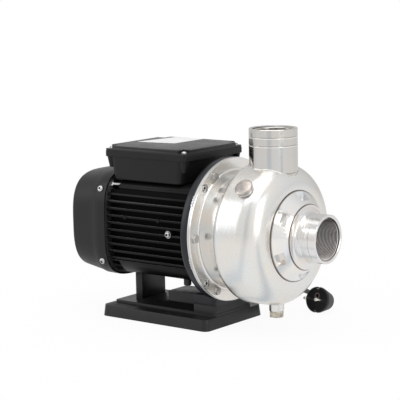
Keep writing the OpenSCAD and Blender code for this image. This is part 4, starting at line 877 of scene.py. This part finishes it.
def recessed_screw(bm, place, head_r, head_h, hole_r, washer_r=0.0, washer_t=0.0, shank_r=2.0, shank_l=8.0):
    before = set(bm.verts)
    foot = [(-shank_l, 0.001), (-shank_l, shank_r), (0, shank_r)]
    washer = [(0, washer_r), (washer_t, washer_r)] if washer_r else []
    top = washer_t + head_h
    hole_floor = top - 0.6 * head_h
    head = [(washer_t, head_r), (washer_t + 0.35 * head_h, head_r), (top - 0.25 * head_h, 0.86 * head_r),
            (top, 0.6 * head_r), (top, hole_r), (hole_floor, 0.9 * hole_r), (hole_floor, 0.001)]
    turned(bm, in_mm(foot + washer + head), UPRIGHT, steps=32)
    fresh = [v for v in bm.verts if v not in before]
    # painted shade: the recess faces get the dark second finish
    for face in {f for v in fresh for f in v.link_faces}:
        middle = face.calc_center_median()
        if math.hypot(middle.x, middle.y) < hole_r * MM and middle.z > (washer_t + 0.3 * head_h) * MM:
            face.material_index = 1
    bmesh.ops.transform(bm, matrix=place, verts=fresh)


def screw_piece(name, node, places, **sizes):
    bm = bmesh.new()
    for place in places:
        recessed_screw(bm, place, **sizes)
    return new_piece(name, bm, bright_zinc, stands_for=(node,), smooth=40, second=recess_painted_shade)


def cover_screw_place(side, up):
    seat = COVER_HALF * (1 - (COVER_SCREW_HEIGHT / COVER_HALF) ** FRONT_POWER) ** (1 / FRONT_POWER)
    return (moved(cover_screw_x, side * seat * MM, shaft_z + up * COVER_SCREW_HEIGHT * MM)
            @ spun(-side * (90 - up * 22), "X"))


cover_low, cover_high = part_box("fan_cover_screws")
cover_screw_x = (cover_low.x + cover_high.x) / 2
screw_piece("cover_screws", "fan_cover_screws", [cover_screw_place(s, u) for s in (-1, 1) for u in (-1, 1)],
            head_r=4.8, head_h=3.0, hole_r=1.9, shank_l=11)
screw_piece("earth_screw", "ground_screw", [moved(*EARTH_SCREW_PLACE) @ spun(90, "X")],
            head_r=4.3, head_h=3.4, hole_r=1.9, washer_r=5.2, washer_t=1.2, shank_r=2.5)
screw_piece("plate_screws", "flange_screws",
            [moved(SEAL_PLATE_X, 0, shaft_z) @ spun(angle, "X") @ moved(0, 0, FLANGE_SCREW_R) @ spun(90, "Y")
             for angle in (45, 135, 225, 315)],
            head_r=4.3, head_h=4.6, hole_r=2.0, shank_r=2.5, shank_l=10)

# %% [markdown]
# ## Discharge port
# The upright port is a plain turned tube with two rings cut near its top. Below each
# ring a separate thin band of bright metal is a painted highlight along the groove's edge.

# %% Discharge port
PORT_R = 34.0
PORT_GROOVES = (263.3, 275.0)


def discharge_port():
    top = discharge_top / MM
    outline = [(226.0, 29.2), (226.0, PORT_R)]
    for groove in PORT_GROOVES:
        outline += [(groove - 0.9, PORT_R), (groove - 0.2, PORT_R - 0.65), (groove + 0.2, PORT_R - 0.65),
                    (groove + 0.9, PORT_R)]
    outline += [(top - 0.7, PORT_R), (top, PORT_R - 0.7), (top, 30.9), (top - 1.2, 29.2)]
    bm = bmesh.new()
    turned(bm, in_mm(outline), PORT_LINE, steps=128)
    mark_bore(bm, lambda p: math.hypot(p.x - discharge_x, p.y))
    return new_piece("discharge_port", bm, port_stainless, stands_for=("discharge_nozzle",), smooth=20,
                     second=bore_painted_light)


def painted_highlight_bands():
    bm = bmesh.new()
    # painted highlight: a thin bright band below each groove
    for groove in PORT_GROOVES:
        section = [(groove - 1.5, PORT_R - 0.1), (groove - 1.4, PORT_R + 0.08),
                   (groove - 0.75, PORT_R + 0.08), (groove - 0.65, PORT_R - 0.1)]
        turned(bm, in_mm(section), PORT_LINE, steps=128)
    return new_piece("painted_highlight_bands", bm, groove_painted_highlight, smooth=40)


discharge_port()
painted_highlight_bands()

# %% [markdown]
# ## Fan cover
# The cover is a soft square drum, deep drawn in plastic, that narrows toward a rounded
# rear edge. A ring of vertices is shaped to a squircle at each station along the shaft,
# and the rings are joined by extruding, so the skin is smooth where the CAD has flats.
# Its rear wall is a grille of rings and ribs round a closed centre.

# %% Fan cover shell
cover_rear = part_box("fan_cover")[0].x
COVER_LENGTH = 70.1
COVER_WALL = 1.8
REAR_POWER = 3.2
EDGE_ROUND = 5
GRILLE_R = 62.0
GRILLE_STEP = 7.8
COVER_SIDES = 144


def cover_outline(length, half, power=None):
    power = power or REAR_POWER + (FRONT_POWER - REAR_POWER) * length / COVER_LENGTH
    outline = []
    for k in range(COVER_SIDES):
        angle = 2 * math.pi * k / COVER_SIDES
        y, z = (half * MM * math.copysign(abs(c) ** (2 / power), c)
                for c in (math.cos(angle), math.sin(angle)))
        outline.append(Vector((cover_rear + length * MM, y, shaft_z + z)))
    return outline


def cover_grille(bm):
    for k in range(6):
        outer = GRILLE_R - GRILLE_STEP * k
        section = [(0.0, outer - 0.5), (0.25, outer - 0.1), (1.5, outer), (COVER_WALL, outer - 0.3),
                   (COVER_WALL, outer - 2.9), (1.5, outer - 3.2), (0.25, outer - 3.1), (0.0, outer - 2.7)]
        turned(bm, in_mm(section, cover_rear), SHAFT_LINE)
    centre = [(0.0, 0.001), (0.0, 13.6), (0.4, 14.6), (1.0, 15.2), (COVER_WALL, 15.2), (COVER_WALL, 0.001)]
    turned(bm, in_mm(centre, cover_rear), SHAFT_LINE, steps=64)
    for k in range(8):
        place = moved(cover_rear + 1.05 * MM, 0, shaft_z) @ spun(45 * k, "X") @ moved(0, 0, 37.8 * MM)
        add_block(bm, place, (1.5, 3.2, 47.6))


def cover_shell():
    turns = [math.radians(15 * k) for k in range(7)]
    edge = [(EDGE_ROUND * (1 - math.cos(t)), 68.5 + EDGE_ROUND * math.sin(t)) for t in turns]
    outer = edge + [(16.0, 74.8), (28.0, 76.3), (40.0, 77.7), (48.7, 78.75), (49.0, 78.85), (49.2, 79.4),
                    (49.6, COVER_HALF), (60.0, COVER_HALF), (69.7, COVER_HALF), (COVER_LENGTH, 79.2)]
    inner = [(COVER_LENGTH, 78.1), (69.7, 77.8), (49.9, 77.8), (28.0, 74.4), (5.0, 71.7), (2.6, 69.8),
             (COVER_WALL, 67.5)]
    bm = bmesh.new()
    skin = [cover_outline(length, half) for length, half in outer + inner]
    rims = lofted(bm, [cover_outline(0.0, GRILLE_R, 2), *skin, cover_outline(COVER_WALL, GRILLE_R, 2)],
                  capped=False)
    bmesh.ops.bridge_loops(bm, edges=rims)
    cover_grille(bm)
    bmesh.ops.remove_doubles(bm, verts=bm.verts, dist=0.004 * MM)
    return new_piece("fan_cover_shell", bm, cover_black, stands_for=("fan_cover",), smooth=40)


cover_shell()

# %% [markdown]
# ## Cord tie and sleeve
# A plastic tie holds the coil together on the side nearest the motor, and a tapered
# rubber sleeve with shallow grooves guards the cord where it comes out of the gland nut.

# %% Tie and sleeve
TIE_CENTRE = Vector((-55, 243, 8.4)) * MM
TIE_ANGLE = 160
TIE_DISTANCE = 39.8 * MM
SLEEVE_ROOT_R, SLEEVE_TIP_R = 5.6, 4.3


def coil_tie():
    bm = bmesh.new()
    add_block(bm, moved(0, 0, 0), (5, 19.8, 14.8))
    sides = [f for f in bm.faces if abs(f.normal.x) > 0.9]
    bmesh.ops.delete(bm, geom=sides, context="FACES")
    bmesh.ops.bevel(bm, geom=[e for e in bm.edges if not e.is_boundary], offset=3.0 * MM, segments=4,
                    profile=0.5, affect="EDGES", material=-1)
    bmesh.ops.recalc_face_normals(bm, faces=bm.faces)
    bmesh.ops.solidify(bm, geom=bm.faces, thickness=-1.0 * MM)
    add_block(bm, moved(0, 5 * MM, 9.1 * MM), (6.4, 8, 4.6))
    place = moved(*TIE_CENTRE) @ spun(TIE_ANGLE, "Z") @ moved(TIE_DISTANCE, 0, 0) @ spun(-90, "Z")
    bmesh.ops.transform(bm, matrix=place, verts=bm.verts)
    return new_piece("coil_tie", bm, rubber_black)


def sleeve_path(per_part=12):
    knots = [Vector(p) * MM for p in lead_points[:5]]
    knots = [knots[0] * 2 - knots[1]] + knots
    path = []
    for a, b, c, d in zip(knots, knots[1:], knots[2:], knots[3:]):
        for t in (k / per_part for k in range(per_part)):
            path.append((b * 2 + (c - a) * t + (a * 2 - b * 5 + c * 4 - d) * t ** 2
                         + (b * 3 - a - c * 3 + d) * t ** 3) / 2)
    return path + [knots[4]]


def gland_sleeve():
    path = sleeve_path()
    last = len(path) - 1
    side = Vector((1, 0, 0))
    outlines = []
    for k, place in enumerate(path):
        up = (path[min(k + 1, last)] - path[max(k - 1, 0)]).cross(side).normalized()
        groove = 0.5 if k > 4 and k % 4 in (1, 2) else 0.0
        radius = (SLEEVE_ROOT_R + (SLEEVE_TIP_R - SLEEVE_ROOT_R) * k / last - groove) * MM
        outlines.append([place + (side * math.cos(math.radians(a)) + up * math.sin(math.radians(a))) * radius
                         for a in range(0, 360, 15)])
    bm = bmesh.new()
    lofted(bm, outlines)
    return new_piece("cord_sleeve", bm, rubber_black)


gland_sleeve()
coil_tie()

# %% [markdown]
# ## Floor, background and light
# The pump stands on a plain white floor in soft studio light. The floor keeps a faint
# shadow: what the camera sees of it is part real shading and part plain white, and far
# from the pump it is white alone. Polished metal shows its surroundings, so floor and
# world also carry a studio that only reflections see: pale and darker upright strips at
# chosen angles round the pump, which draw the grey bands on the drum.

# %% Floor and lights
MIRROR_SHARE = 0.8
WHITE = (1, 1, 1)
STRIPS = [(-180, 0.8, 0), (-150, 0.66, 0), (-128, 0.86, 0), (-100, 0.9, 0), (-86, 1.0, 0), (-77, 0.66, 0.05),
          (-66, 0.66, 0.05), (-58, 1.0, 0), (-26, 1.0, 0), (-15, 0.38, 0.12), (-4, 1.0, 0), (40, 0.95, 0),
          (110, 0.6, 0)]


def reflected_studio(owner, point, strength):
    split = split_point(owner, point)
    turn = remap(owner, maths(owner, "ARCTAN2", split[1], split[0]), 0, 1, -math.pi, math.pi)
    ramp = add_node(owner, "ShaderNodeValToRGB", i0=turn)
    stops = ramp.color_ramp.elements
    stops[-1].color = (0.8, 0.8, 0.8, 1)
    for k, (degrees, bright, blue) in enumerate(STRIPS):
        bright = 1 - (1 - bright) * strength
        place = (degrees + 180) / 360
        stop = stops[0] if k == 0 else stops.new(place)
        stop.position = place
        stop.color = (bright * (1 - blue), bright, bright * (1 + blue), 1)
    return ramp.outputs[0]


def light_path_share(owner, path):
    share = maths(owner, "MULTIPLY", path["Is Glossy Ray"], MIRROR_SHARE)
    for key in ("Is Camera Ray", "Is Transmission Ray"):
        share = maths(owner, "MAXIMUM", share, path[key])
    return share


def shown_white(owner, path, coordinates, strength):
    point = add_node(owner, "ShaderNodeTexCoord").outputs[coordinates]
    return blend_colour(owner, path["Is Camera Ray"], reflected_studio(owner, point, strength), WHITE)


def studio_floor():
    bm = bmesh.new()
    bmesh.ops.create_grid(bm, x_segments=1, y_segments=1, size=6)
    mesh = bpy.data.meshes.new("floor")
    bm.to_mesh(mesh)
    bm.free()
    floor = bpy.data.objects.new("floor", mesh)
    bpy.context.collection.objects.link(floor)
    material = finish_shader("floor_white", (0.9, 0.9, 0.9), 0.8)
    nodes = material.node_tree.nodes
    path = add_node(material, "ShaderNodeLightPath").outputs
    white = add_node(material, "ShaderNodeEmission", Color=shown_white(material, path, "Object", 0.6))
    away = add_node(material, "ShaderNodeVectorMath", {"operation": "LENGTH"},
                    i0=add_node(material, "ShaderNodeTexCoord").outputs["Object"]).outputs["Value"]
    spread = remap(material, away, 0.93, 1.0, 0.15, 0.7, kind="SMOOTHSTEP")
    share = maths(material, "MULTIPLY", light_path_share(material, path), spread)
    mix = add_node(material, "ShaderNodeMixShader", i0=share, i1=nodes["Principled BSDF"].outputs[0],
                   i2=white.outputs[0])
    feed(material, nodes["Material Output"].inputs["Surface"], mix.outputs[0])
    mesh.materials.append(material)


def soft_lamp(name, place, target, size, watts, colour=WHITE):
    data = bpy.data.lights.new(name, "AREA")
    data.shape = "RECTANGLE"
    data.size, data.size_y = size
    data.energy = watts
    data.color = colour
    lamp = bpy.data.objects.new(name, data)
    lamp.location = place
    lamp.rotation_euler = (Vector(target) - Vector(place)).to_track_quat("-Z", "Y").to_euler()
    bpy.context.collection.objects.link(lamp)


def studio_world():
    world = bpy.data.worlds.new("studio")
    bpy.context.scene.world = world
    world.use_nodes = True
    height = split_point(world, add_node(world, "ShaderNodeTexCoord").outputs["Generated"])[2]
    ramp = add_node(world, "ShaderNodeValToRGB", i0=height)
    stops = ramp.color_ramp.elements
    stops[0].position, stops[0].color = 0.0, (0.42, 0.42, 0.42, 1)
    stops[1].position, stops[1].color = 0.9, (0.80, 0.80, 0.80, 1)
    stops.new(0.22).color = (0.63, 0.63, 0.63, 1)
    path = add_node(world, "ShaderNodeLightPath").outputs
    shown = shown_white(world, path, "Generated", 1.0)
    sky = blend_colour(world, light_path_share(world, path), ramp.outputs[0], shown)
    feed(world, world.node_tree.nodes["Background"].inputs["Color"], sky)


studio_floor()
studio_world()
soft_lamp("top_box", (0.1, -0.3, 1.6), (0, 0, 0.1), (1.6, 1.2), 8)
soft_lamp("left_box", (-1.3, -1.1, 0.9), (0, 0, 0.15), (0.9, 1.2), 6, (0.93, 0.96, 1.0))
soft_lamp("right_box", (1.7, -0.5, 0.8), (0.05, 0, 0.15), (0.7, 1.4), 5, (1.0, 0.98, 0.95))
print("stage set")
